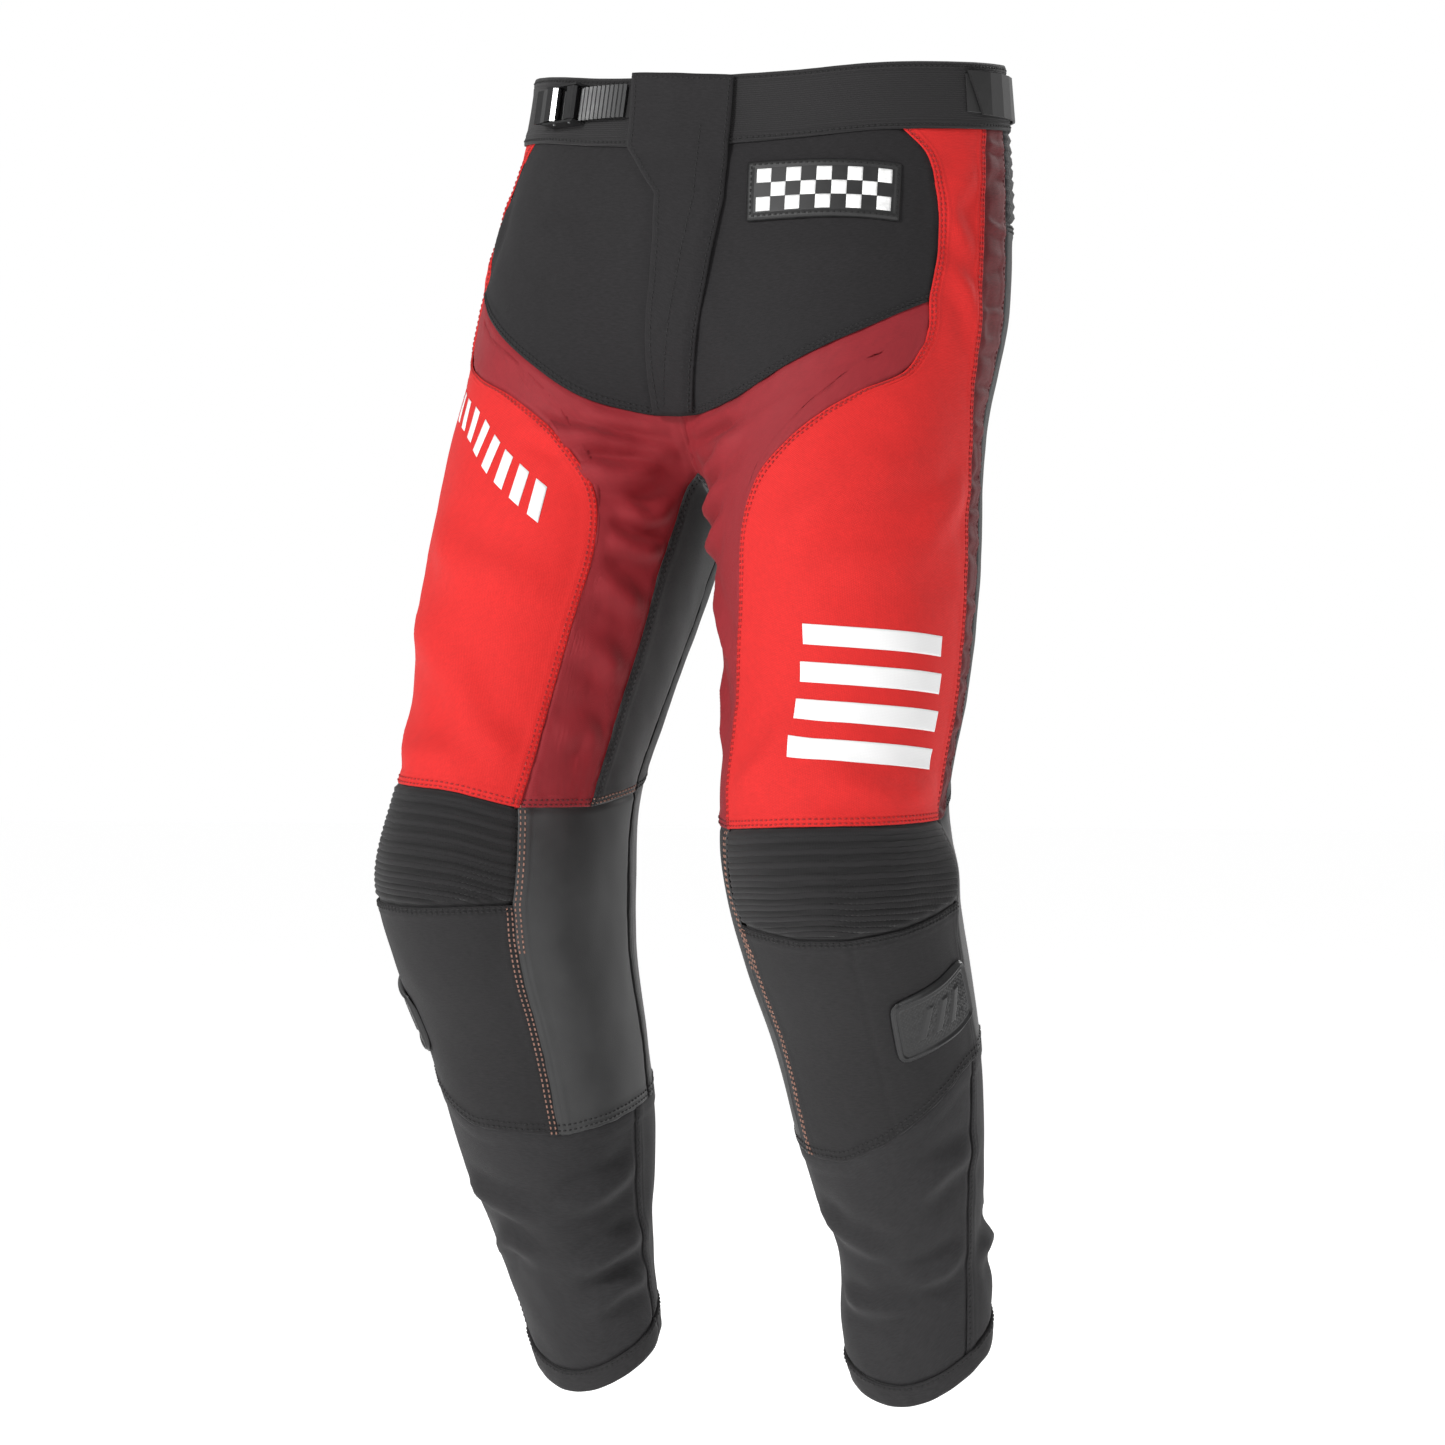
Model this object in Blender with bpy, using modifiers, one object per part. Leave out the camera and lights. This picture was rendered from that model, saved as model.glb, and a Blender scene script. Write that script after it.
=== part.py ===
"""Off-road riding pants, filled out as if worn: sewn shell panels, waist hardware and knee joints.

Frame: +X is the wearer's left, -Y the wearer's front, +Z up, origin in the waist opening.
Units are metres and degrees. Each side panel is laid out once, on the left, and mirrored.
"""
import bpy
import bmesh
import numpy as np
from math import atan2
from math import cos
from math import degrees
from math import pi
from math import radians
from math import sin
from mathutils import Matrix
from mathutils import Vector

# ---------------------------------------------------------------- driving sizes
HEIGHT = 0.975                 # waist to the lowest point of the cuffs
WAIST_WIDTH = 0.362            # across the waist opening
CLOTH = 0.0016                 # shell fabric
RIB_CLOTH = 0.0024             # ribbed stretch panels
BAND_CLOTH = 0.0030            # waistband, two layers of webbing
SEAM_GAP = 0.0016              # free space along every sewn seam
MIDDLE_GAP = 0.0044            # along the middle seam, where the panels lean together
KNEE_GAP = 0.0030              # between the thigh and the knee panels
HEM_GAP = 0.0030               # between the knee hem and the lower leg
FIT = 0.0003                   # clearance between hard pieces
TURNOUT = 15.0                 # how far each leg turns out
ZIP_GAP = 0.020                # opening between the two yokes at the zip
ZIP_TOP = -0.070
ZIP_END = -0.190
CHAIN_WIDTH = 0.0048
CHAIN_PITCH = 0.0030
SLIDER_WIDTH = 0.0090
SLIDER_LENGTH = 0.0100
PULL_LENGTH = 0.0200
PULL_WIDTH = 0.0060
FLAP_CLOTH = 0.0020
FLAP_LIFT = BAND_CLOTH + 0.0030    # inside face of the flap above the body
FLAP_FOLD_SHIFT = 0.0014       # fold line beyond the sewn edge
STRAP_HEIGHT = 0.0250
STRAP_THICKNESS = 0.0020
STRAP_RIB = 0.0010
STRAP_PITCH = 0.0040
STRAP_LIFT = BAND_CLOTH + 0.0030   # inside face of the ladder strap above the body
STRAP_RAISE = 0.0070           # strap above the middle of the waistband
STRAP_TURNS = (-24, -40, -58)  # places on the waist, in degrees, that the strap's arc passes
STRAP_START = -25              # front end of the strap, in degrees round the waist
STRAP_END = -55                # rear end of the strap, in degrees round the waist
BUCKLE_TURN = -47              # middle of the buckle, in degrees round the waist
ANCHOR_END = -14               # front end of the strap's webbing, in degrees
BUCKLE_LENGTH = 0.0340
BUCKLE_WALL = 0.0016
BUCKLE_RISE = 0.0105           # side walls above the strap's inside face
PIN_RADIUS = 0.0011
TAB_HEIGHT = 0.0320
TAB_CLOTH = 0.0018
TAB_FOLD = 112.2               # angle of the line that the hip tab peels about
RING_WIRE = 0.0013             # radius of the adjuster ring's wire
PATCH_HEIGHT = 0.0440
PATCH_WIDTH = 0.1120
PATCH_THICKNESS = 0.0022
PATCH_GAP = 0.0121             # along the cloth, from the flap's sewn edge to the patch
BADGE_LENGTH = 0.0800
BADGE_WIDTH = 0.0440
BADGE_THICKNESS = 0.0036
CUFF_HEIGHT = 0.0140
CUFF_CLOTH = 0.0026

# ---------------------------------------------------------------- body form
PATTERN_HEIGHT = 0.975         # the sizes that the stations below are drawn for
PATTERN_WIDTH = 0.362
TALL = HEIGHT / PATTERN_HEIGHT
WIDE = WAIST_WIDTH / PATTERN_WIDTH

# height, centre x, centre y, half width, depth to the front, depth to the back
LEG_STATIONS = np.array([
    (0.02, 0.080, 0.004, 0.080, 0.085, 0.090),
    (-0.06, 0.086, -0.004, 0.088, 0.092, 0.100),
    (-0.14, 0.092, -0.030, 0.096, 0.104, 0.112),
    (-0.22, 0.098, -0.054, 0.098, 0.112, 0.122),
    (-0.30, 0.105, -0.078, 0.097, 0.116, 0.124),
    (-0.38, 0.116, -0.096, 0.092, 0.118, 0.118),
    (-0.46, 0.126, -0.118, 0.084, 0.108, 0.108),
    (-0.53, 0.131, -0.146, 0.079, 0.102, 0.102),
    (-0.59, 0.137, -0.148, 0.080, 0.106, 0.106),
    (-0.65, 0.141, -0.130, 0.077, 0.094, 0.100),
    (-0.71, 0.141, -0.098, 0.072, 0.084, 0.090),
    (-0.77, 0.140, -0.076, 0.066, 0.078, 0.084),
    (-0.83, 0.140, -0.058, 0.059, 0.062, 0.070),
    (-0.89, 0.138, -0.034, 0.054, 0.048, 0.054),
    (-0.95, 0.135, -0.012, 0.050, 0.042, 0.044),
    (-1.00, 0.132, 0.004, 0.048, 0.042, 0.042),
])
# height, centre y, half width, depth to the front, depth to the back
TORSO_STATIONS = np.array([
    (0.04, 0.006, 0.175, 0.112, 0.112),
    (-0.04, 0.000, 0.181, 0.120, 0.120),
    (-0.10, -0.014, 0.190, 0.126, 0.134),
    (-0.16, -0.030, 0.194, 0.122, 0.148),
    (-0.22, -0.046, 0.192, 0.110, 0.150),
    (-0.30, -0.055, 0.182, 0.100, 0.130),
])
CROTCH_START = -0.18           # the torso closes below this height
CROTCH_DEPTH = 0.125
TORSO_BLEND = 0.030
LEG_BLEND = 0.018

# ---------------------------------------------------------------- seam lines
# heights of lines that run round the body, by angle from the wearer's front
BAND_TOP = ((0, -0.012), (36, -0.011), (60, -0.004), (100, 0.001), (180, 0.000))
BAND_BOTTOM = ((0, -0.063), (36, -0.058), (57, -0.052), (100, -0.046), (180, -0.046))
KNEE_SEAM = ((-180, -0.500), (-115, -0.527), (-74, -0.537), (-31, -0.545), (10, -0.538),
             (45, -0.538), (98, -0.546), (140, -0.520), (180, -0.500))
RIB_BOTTOM = ((-31, -0.610), (10, -0.620), (50, -0.616), (98, -0.604))
KNEE_HEM = ((-180, -0.720), (-115, -0.750), (-65, -0.771), (-35, -0.780), (-5, -0.782),
            (20, -0.777), (45, -0.757), (78, -0.727), (98, -0.712), (140, -0.710), (180, -0.720))
CUFF_MIDDLE = -0.937
CUFF_TILT = 0.036
STRIPE_FRONT_TOP = 86
STRIPE_REAR_TOP = 95
YOKE_SIDE_TOP = 64
RIB_INNER = -31                # leg angles of the knee seams
RIB_OUTER = 98
INSEAM_FRONT = -74
INSEAM_REAR = -115
REAR_YOKE_HEIGHT = -0.115
FRONT_YOKE_END = -0.256        # where the yoke reaches the middle of the front
HIP_LEVEL = -0.206
YOKE_ROWS = 8                  # rows of panel cells above and below the hip
THIGH_ROWS = 12
KEEL_PIVOT = (0.0, -0.045, -0.200)
KEEL_FRONT = 57                # keel angles: 0 straight ahead, 90 straight down
KEEL_REAR = 118

# ---------------------------------------------------------------- joints
KNEE_HINGE = (0.138, -0.135, -0.605)
SHIN_PIECES = ("knee_rib", "knee_cup", "knee_hide", "knee_back", "knee_badge",
               "calf_front", "calf_back", "cuff")

# ---------------------------------------------------------------- colours
BLACK = (0.030, 0.028, 0.029)
CHARCOAL = (0.040, 0.038, 0.040)
RED = (0.800, 0.030, 0.022)
MAROON = (0.300, 0.016, 0.022)
DARK_MAROON = (0.160, 0.020, 0.022)
HIDE = (0.045, 0.045, 0.045)
MOULDED = (0.012, 0.012, 0.013)
STEEL = (0.45, 0.45, 0.46)


def clear_scene():
    """Remove whatever the file held before."""
    for old in list(bpy.data.objects):
        bpy.data.objects.remove(old, do_unlink=True)


def collection_named(name):
    """A fresh collection linked to the scene."""
    group = bpy.data.collections.new(name)
    bpy.context.scene.collection.children.link(group)
    return group


clear_scene()
PARTS = collection_named("riding_pants")
CUTTERS = collection_named("cutters")


def finish(name, color, roughness=0.8, metallic=0.0):
    """A plain principled material."""
    material = bpy.data.materials.new(name + "_finish")
    material.use_nodes = True
    shader = material.node_tree.nodes["Principled BSDF"]
    shader.inputs["Base Color"].default_value = (*color, 1.0)
    shader.inputs["Roughness"].default_value = roughness
    shader.inputs["Metallic"].default_value = metallic
    material.diffuse_color = (*color, 1.0)
    return material


# ---------------------------------------------------------------- the body as a field
def station_values(z, table):
    """Smooth values between a table's rows at each height."""
    rows = table[::-1]
    heights = rows[:, 0] * TALL
    values = rows[:, 1:] * WIDE
    z = np.clip(z, heights[0], heights[-1])
    low = np.clip(np.searchsorted(heights, z, side="right") - 1, 0, len(heights) - 2)
    slopes = np.gradient(values, heights, axis=0)
    step = (heights[low + 1] - heights[low])[..., None]
    s = (z - heights[low])[..., None] / step
    start = (2 * s**3 - 3 * s**2 + 1) * values[low] + (s**3 - 2 * s**2 + s) * step * slopes[low]
    end = (3 * s**2 - 2 * s**3) * values[low + 1] + (s**3 - s**2) * step * slopes[low + 1]
    return start + end


def soft_min(a, b, width):
    """The smaller of two fields, rounded where they meet."""
    mix = np.clip(0.5 + 0.5 * (b - a) / width, 0.0, 1.0)
    return b * (1 - mix) + a * mix - width * mix * (1 - mix)


def leg_field(x, y, z):
    """Signed size of the left leg's tube: negative inside."""
    c = station_values(z, LEG_STATIONS)
    turn = radians(TURNOUT)
    across = cos(turn) * (x - c[..., 0]) + sin(turn) * (y - c[..., 1])
    along = -sin(turn) * (x - c[..., 0]) + cos(turn) * (y - c[..., 1])
    depth = np.where(along < 0, c[..., 3], c[..., 4])
    return (np.sqrt((across / c[..., 2])**2 + (along / depth)**2) - 1) * c[..., 2]


def torso_field(x, y, z):
    """Signed size of the torso's tube, rounded off at the crotch."""
    c = station_values(z, TORSO_STATIONS)
    along = y - c[..., 0]
    depth = np.where(along < 0, c[..., 2], c[..., 3])
    below = np.maximum(CROTCH_START * TALL - z, 0) / CROTCH_DEPTH
    return (np.sqrt((x / c[..., 1])**2 + (along / depth)**2 + below**2) - 1) * c[..., 2]


def body_field(points):
    """Signed field of the whole worn shape."""
    x = points[..., 0]
    y = points[..., 1]
    z = points[..., 2]
    legs = soft_min(leg_field(x, y, z), leg_field(-x, y, z), LEG_BLEND)
    return soft_min(legs, torso_field(x, y, z), TORSO_BLEND)


def body_normals(points):
    """Outward directions of the field and its slopes."""
    step = 1e-4
    slopes = np.empty(points.shape)
    for axis in range(3):
        shift = np.zeros(3)
        shift[axis] = step
        slopes[..., axis] = (body_field(points + shift) - body_field(points - shift)) / (2 * step)
    size = np.linalg.norm(slopes, axis=-1, keepdims=True)
    return slopes / size, size[..., 0]


def onto_body(points, lift=0.0):
    """Slide points along the field's slope to the body, then raise them by lift."""
    points = np.array(points, dtype=float)
    for _ in range(8):
        normals, size = body_normals(points)
        points = points - normals * (body_field(points) / size)[..., None]
    normals, _ = body_normals(points)
    raised = np.broadcast_to(np.asarray(lift, dtype=float), points.shape[:-1])
    return points + normals * raised[..., None]


def cast(origin, direction):
    """The first point of the body's surface along a ray from inside."""
    reach = np.linspace(0.0, 0.35, 120)
    line = np.asarray(origin) + reach[:, None] * np.asarray(direction)
    outside = np.nonzero(body_field(line) > 0)[0]
    low = reach[outside[0] - 1]
    high = reach[outside[0]]
    for _ in range(24):
        middle = (low + high) / 2
        if body_field(np.asarray(origin) + middle * np.asarray(direction)) > 0:
            high = middle
        else:
            low = middle
    return np.asarray(origin) + high * np.asarray(direction)


def line_height(line, angle):
    """Height of a line round the body at an angle."""
    table = np.array(line)
    wrapped = (angle + 180) % 360 - 180
    if table[0, 0] >= 0 and wrapped < 0:
        wrapped = -wrapped
    return float(np.interp(wrapped, table[:, 0], table[:, 1])) * TALL


def torso_point(angle, z):
    """A point of the torso by angle from the front and height."""
    centre = station_values(np.array(z), TORSO_STATIONS)
    return cast((0.0, centre[0], z), (sin(radians(angle)), -cos(radians(angle)), 0.0))


def leg_point(angle, z):
    """A point of the left leg by angle from the front and height."""
    centre = station_values(np.array(z), LEG_STATIONS)
    return cast((centre[0], centre[1], z), (sin(radians(angle)), -cos(radians(angle)), 0.0))


def front_point(x, z):
    """A point of the front by distance from the middle and height."""
    centre = station_values(np.array(z), TORSO_STATIONS)
    return cast((x, centre[0], z), (0.0, -1.0, 0.0))


def keel_point(angle):
    """A point of the middle seam, from front (0) through the crotch (90) to the back (180)."""
    pivot = (KEEL_PIVOT[0], KEEL_PIVOT[1] * WIDE, KEEL_PIVOT[2] * TALL)
    return cast(pivot, (0.0, -cos(radians(angle)), -sin(radians(angle))))


def smooth_line(points, count):
    """An even curve of count steps through chosen points, laid on the body."""
    points = np.array(points)
    chord = np.concatenate([[0], np.cumsum(np.linalg.norm(np.diff(points, axis=0), axis=1))])
    if len(points) > 2:
        slopes = np.gradient(points, chord, axis=0)
    else:
        slopes = np.repeat((points[1:] - points[:1]) / chord[-1], 2, axis=0)
    t = np.linspace(0, chord[-1], 40 * count + 1)
    low = np.clip(np.searchsorted(chord, t, side="right") - 1, 0, len(points) - 2)
    step = (chord[low + 1] - chord[low])[:, None]
    s = (t - chord[low])[:, None] / step
    fine = (2 * s**3 - 3 * s**2 + 1) * points[low] + (s**3 - 2 * s**2 + s) * step * slopes[low]
    fine = fine + (3 * s**2 - 2 * s**3) * points[low + 1] + (s**3 - s**2) * step * slopes[low + 1]
    fine = onto_body(fine)
    run = np.concatenate([[0], np.cumsum(np.linalg.norm(np.diff(fine, axis=0), axis=1))])
    even = np.linspace(0, run[-1], count + 1)
    line = np.stack([np.interp(even, run, fine[:, axis]) for axis in range(3)], axis=1)
    line = onto_body(line)
    line[0] = onto_body(points[0])
    line[-1] = onto_body(points[-1])
    return line


def torso_line(heights, start, end, count):
    """A line round the torso between two angles."""
    angles = np.linspace(start, end, 2 * count + 1)
    return smooth_line([torso_point(a, line_height(heights, a)) for a in angles], count)


def leg_line(heights, start, end, count, drop=0.0):
    """A line round the left leg between two angles."""
    angles = np.linspace(start, end, 2 * count + 1)
    return smooth_line([leg_point(a, line_height(heights, a) - drop) for a in angles], count)


def join(first, second):
    """Two lines that share an end."""
    return np.vstack([first, second[1:]])


# ---------------------------------------------------------------- panels
def fill_patch(top, bottom, left, right):
    """Points of a four-sided patch between its edge lines, laid on the body."""
    columns = len(top) - 1
    rows = len(left) - 1
    s = np.linspace(0, 1, columns + 1)[None, :, None]
    t = np.linspace(0, 1, rows + 1)[:, None, None]
    across = (1 - t) * top[None] + t * bottom[None]
    down = (1 - s) * left[:, None] + s * right[:, None]
    corners = (1 - t) * ((1 - s) * top[0] + s * top[-1]) + t * ((1 - s) * bottom[0] + s * bottom[-1])
    points = across + down - corners
    points[1:-1, 1:-1] = onto_body(points[1:-1, 1:-1])
    return points


def inward(edge, distance):
    """Shifts of an edge line to its left as seen from outside, walking along it."""
    tangent = np.gradient(edge, axis=0)
    sideways = np.cross(body_normals(edge)[0], tangent)
    return distance * sideways / np.linalg.norm(sideways, axis=1, keepdims=True)


def with_seam_gap(points, distance=SEAM_GAP / 2):
    """The patch drawn in a little along all four edges."""
    shift = np.zeros(points.shape)
    shift[0] += inward(points[0], -distance)
    shift[-1] += inward(points[-1], distance)
    shift[:, 0] += inward(points[:, 0], distance)
    shift[:, -1] += inward(points[:, -1], -distance)
    return points + shift


def mirrored(points):
    """The same patch on the wearer's right."""
    return points[:, ::-1] * np.array([-1.0, 1.0, 1.0])


def keep_object(name, data, material):
    """Link a named object into the parts collection."""
    made = bpy.data.objects.new(name, data)
    PARTS.objects.link(made)
    made.data.materials.append(material)
    return made


def thicken(made, thickness, offset=1.0):
    """Give an open surface its cloth thickness."""
    layer = made.modifiers.new("thickness", "SOLIDIFY")
    layer.thickness = thickness
    layer.offset = offset
    return layer


def panel(name, points, thickness, material):
    """A sewn piece: a grid laid on the body and thickened outwards."""
    rows = points.shape[0] - 1
    columns = points.shape[1] - 1
    shape = bmesh.new()
    bmesh.ops.create_grid(shape, x_segments=columns, y_segments=rows, size=0.5)
    for vert in shape.verts:
        column = round((vert.co.x + 0.5) * columns)
        row = round((0.5 - vert.co.y) * rows)
        vert.co = Vector(points[row, column])
    mesh = bpy.data.meshes.new(name)
    shape.to_mesh(mesh)
    shape.free()
    mesh.shade_smooth()
    made = keep_object(name, mesh, material)
    thicken(made, thickness)
    return made


def both_sides(name, points, thickness, material):
    """A left panel and its mirrored right one."""
    gapped = with_seam_gap(points)
    gapped[..., 0] = np.maximum(gapped[..., 0], MIDDLE_GAP / 2)
    panel(name + "_left", gapped, thickness, material)
    panel(name + "_right", mirrored(gapped), thickness, material)


def solid_box(name, size, frame, material):
    """A box with its middle at the frame's origin."""
    shape = bmesh.new()
    bmesh.ops.create_cube(shape, size=1.0)
    bmesh.ops.scale(shape, vec=size, verts=shape.verts)
    mesh = bpy.data.meshes.new(name)
    shape.to_mesh(mesh)
    shape.free()
    made = keep_object(name, mesh, material)
    made.matrix_world = frame
    return made


def rod(name, radius, length, frame, material, sides=16):
    """A cylinder along the frame's Z axis."""
    shape = bmesh.new()
    bmesh.ops.create_cone(shape, cap_ends=True, segments=sides, radius1=radius, radius2=radius,
                          depth=length)
    mesh = bpy.data.meshes.new(name)
    shape.to_mesh(mesh)
    shape.free()
    made = keep_object(name, mesh, material)
    made.matrix_world = frame
    return made


def outline_solid(name, outlines, thickness, frame, material):
    """A flat outline, with any holes, extruded along the frame's Z axis."""
    curve = bpy.data.curves.new(name, "CURVE")
    curve.dimensions = "2D"
    curve.fill_mode = "BOTH"
    curve.extrude = thickness / 2
    for outline in outlines:
        spline = curve.splines.new("POLY")
        spline.points.add(len(outline) - 1)
        for point, place in zip(spline.points, outline):
            point.co = (place[0], place[1], 0.0, 1.0)
        spline.use_cyclic_u = True
    made = keep_object(name, curve, material)
    made.matrix_world = frame
    return made


def hang(axis_name, place, pieces):
    """Parent moving pieces to an empty on their joint's axis, leaving them where they are."""
    pivot = bpy.data.objects.new(axis_name, None)
    pivot.location = place
    PARTS.objects.link(pivot)
    bpy.context.view_layer.update()
    for name in pieces:
        piece = bpy.data.objects[name]
        piece.parent = pivot
        piece.matrix_parent_inverse = pivot.matrix_world.inverted()


def cut_out(body, cutter):
    """Take a cutter's shape out of a body."""
    PARTS.objects.unlink(cutter)
    CUTTERS.objects.link(cutter)
    cutter.hide_render = True
    cutter.display_type = "WIRE"
    cut = body.modifiers.new(cutter.name, "BOOLEAN")
    cut.operation = "DIFFERENCE"
    cut.solver = "EXACT"
    cut.object = cutter


def circle_outline(x, y, radius, sides=16):
    """Points round a circle."""
    turns = [2 * pi * k / sides for k in range(sides)]
    return [(x + radius * cos(a), y + radius * sin(a)) for a in turns]


def circle_through(a, b, c):
    """Centre of the circle through three points of a plane."""
    matrix = 2 * np.array([b - a, c - a])
    values = np.array([b @ b - a @ a, c @ c - a @ a])
    return np.linalg.solve(matrix, values)


# ---------------------------------------------------------------- shared seams of the left side
def shared_seams():
    """Every line that two panels share, drawn once."""
    seams = {}
    yoke_corner = torso_point(70, -0.180 * TALL)
    red_corner = torso_point(71, HIP_LEVEL * TALL)
    waist_side = torso_point(YOKE_SIDE_TOP, line_height(BAND_BOTTOM, YOKE_SIDE_TOP))
    seams["yoke_side"] = smooth_line([
        waist_side, torso_point(69, -0.075 * TALL), torso_point(71, -0.100 * TALL),
        torso_point(71, -0.140 * TALL), yoke_corner], 4)
    seams["yoke_low"] = smooth_line([
        front_point(0.0, FRONT_YOKE_END * TALL), torso_point(12, -0.254 * TALL),
        torso_point(28, -0.246 * TALL), torso_point(43, -0.218 * TALL),
        torso_point(56, -0.200 * TALL), yoke_corner], 7)
    seams["corner_side"] = smooth_line([yoke_corner, torso_point(71, -0.194 * TALL), red_corner], 1)
    seams["red_inner"] = smooth_line([
        red_corner, torso_point(66, -0.226 * TALL), torso_point(53, -0.246 * TALL),
        torso_point(42, -0.272 * TALL), leg_point(-12, -0.312 * TALL),
        leg_point(-22, -0.345 * TALL), leg_point(-27, -0.390 * TALL),
        leg_point(-31, -0.460 * TALL), leg_point(RIB_INNER, line_height(KNEE_SEAM, RIB_INNER))], 11)
    seams["keel_front"] = smooth_line([
        front_point(0.0, FRONT_YOKE_END * TALL), keel_point(KEEL_FRONT - 12),
        keel_point(KEEL_FRONT)], 2)
    seams["keel_low"] = smooth_line([
        keel_point(a) for a in np.linspace(KEEL_FRONT, KEEL_REAR, 7)], 3)
    seams["keel_back"] = smooth_line(
        [keel_point(a) for a in np.linspace(KEEL_REAR, 188, 5)]
        + [torso_point(180, REAR_YOKE_HEIGHT * TALL)], YOKE_ROWS - 2)
    seams["inseam_front"] = smooth_line([
        keel_point(KEEL_FRONT), leg_point(-74, -0.330 * TALL), leg_point(-73, -0.370 * TALL),
        leg_point(-75, -0.420 * TALL), leg_point(-76, -0.490 * TALL),
        leg_point(INSEAM_FRONT, line_height(KNEE_SEAM, INSEAM_FRONT))], 10)
    seams["inseam_rear"] = smooth_line([
        keel_point(KEEL_REAR), leg_point(-118, -0.360 * TALL), leg_point(-117, -0.420 * TALL),
        leg_point(INSEAM_REAR, -0.480 * TALL),
        leg_point(INSEAM_REAR, line_height(KNEE_SEAM, INSEAM_REAR))], 10)
    front_hip = torso_point(84, HIP_LEVEL * TALL)
    seams["stripe_front"] = join(
        smooth_line([torso_point(STRIPE_FRONT_TOP, line_height(BAND_BOTTOM, STRIPE_FRONT_TOP)),
                     torso_point(84, -0.140 * TALL), front_hip], YOKE_ROWS + 1),
        smooth_line([front_hip, leg_point(91, -0.280 * TALL), leg_point(90, -0.360 * TALL),
                     leg_point(93, -0.460 * TALL), leg_point(93, line_height(KNEE_SEAM, 93))],
                    THIGH_ROWS))
    rear_corner = torso_point(94, REAR_YOKE_HEIGHT * TALL)
    rear_hip = torso_point(94, HIP_LEVEL * TALL)
    seams["stripe_rear_top"] = smooth_line([
        torso_point(STRIPE_REAR_TOP, line_height(BAND_BOTTOM, STRIPE_REAR_TOP)), rear_corner], 3)
    seams["stripe_rear"] = join(
        smooth_line([rear_corner, torso_point(93, -0.160 * TALL), rear_hip], YOKE_ROWS - 2),
        smooth_line([rear_hip, leg_point(104, -0.280 * TALL), leg_point(105, -0.360 * TALL),
                     leg_point(107, -0.460 * TALL), leg_point(106, line_height(KNEE_SEAM, 106))],
                    THIGH_ROWS))
    seams["rear_yoke"] = smooth_line([
        torso_point(a, REAR_YOKE_HEIGHT * TALL) for a in np.linspace(94, 180, 9)], 8)
    return seams


def zip_edge(rows):
    """The front edge of a yoke: along the zip, then in to the middle seam."""
    half = ZIP_GAP / 2
    heights = np.linspace(line_height(BAND_BOTTOM, 3), ZIP_END * TALL, 5)
    along_zip = [front_point(half, z) for z in heights]
    below = [front_point(half / 4, (ZIP_END - 0.022) * TALL), front_point(0.0, FRONT_YOKE_END * TALL)]
    return smooth_line(along_zip + below, rows)


# ---------------------------------------------------------------- shell
def front_yokes(seams):
    """Black front panels on each side of the fly."""
    rows = YOKE_ROWS
    first = degrees(atan2(ZIP_GAP / 2, 0.12 * WIDE))
    top = torso_line(BAND_BOTTOM, first, YOKE_SIDE_TOP, 7)
    edge = zip_edge(rows)
    top[0] = edge[0]
    side = smooth_line(seams["yoke_side"], rows)
    both_sides("front_yoke", fill_patch(top, seams["yoke_low"], edge, side), CLOTH,
               finish("front_yoke", BLACK))
    return side


def thigh_panels(seams, yoke_side):
    """Maroon, red, stripe, knit and seat panels from the waist to the knee seam."""
    maroon_top = join(seams["yoke_low"], seams["corner_side"])
    maroon_inner = join(seams["keel_front"], seams["inseam_front"])
    maroon_outer = smooth_line(seams["red_inner"], THIGH_ROWS)
    maroon_bottom = leg_line(KNEE_SEAM, INSEAM_FRONT, RIB_INNER, len(maroon_top) - 1)
    both_sides("inner_thigh", fill_patch(maroon_top, maroon_bottom, maroon_inner, maroon_outer),
               CLOTH, finish("inner_thigh", MAROON))

    columns = 8
    red_rows = YOKE_ROWS + 1
    stripe_front = seams["stripe_front"]
    red_top = torso_line(BAND_BOTTOM, YOKE_SIDE_TOP, STRIPE_FRONT_TOP, columns)
    hip = smooth_line([torso_point(a, HIP_LEVEL * TALL) for a in (71, 77.5, 84)], columns)
    red_bottom = leg_line(KNEE_SEAM, RIB_INNER, 93, columns)
    upper = fill_patch(red_top, hip, join(yoke_side, seams["corner_side"]),
                       stripe_front[:red_rows + 1])
    lower = fill_patch(hip, red_bottom, maroon_outer, stripe_front[red_rows:])
    both_sides("outer_thigh", join(upper, lower), CLOTH, finish("outer_thigh", RED))

    stripe_low = seams["stripe_rear"]
    stripe_rear = join(seams["stripe_rear_top"], stripe_low)
    stripe_top = torso_line(BAND_BOTTOM, STRIPE_FRONT_TOP, STRIPE_REAR_TOP, 2)
    stripe_bottom = leg_line(KNEE_SEAM, 93, 106, 2)
    both_sides("side_stripe", fill_patch(stripe_top, stripe_bottom, stripe_front, stripe_rear),
               CLOTH, finish("side_stripe", DARK_MAROON))

    seat_inner = join(seams["keel_back"][::-1],
                      smooth_line(seams["inseam_rear"], THIGH_ROWS))
    seat_bottom = leg_line(KNEE_SEAM, 106, 360 + INSEAM_REAR, 8)
    both_sides("seat", fill_patch(seams["rear_yoke"], seat_bottom, stripe_low, seat_inner), CLOTH,
               finish("seat", BLACK))

    knit_top = seams["keel_low"][::-1]
    knit_left = smooth_line(seams["inseam_rear"], 10)
    knit_bottom = leg_line(KNEE_SEAM, INSEAM_REAR, INSEAM_FRONT, 3)
    both_sides("knit_panel", fill_patch(knit_top, knit_bottom, knit_left, seams["inseam_front"]),
               CLOTH, finish("knit_panel", CHARCOAL, 0.95))


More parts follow.
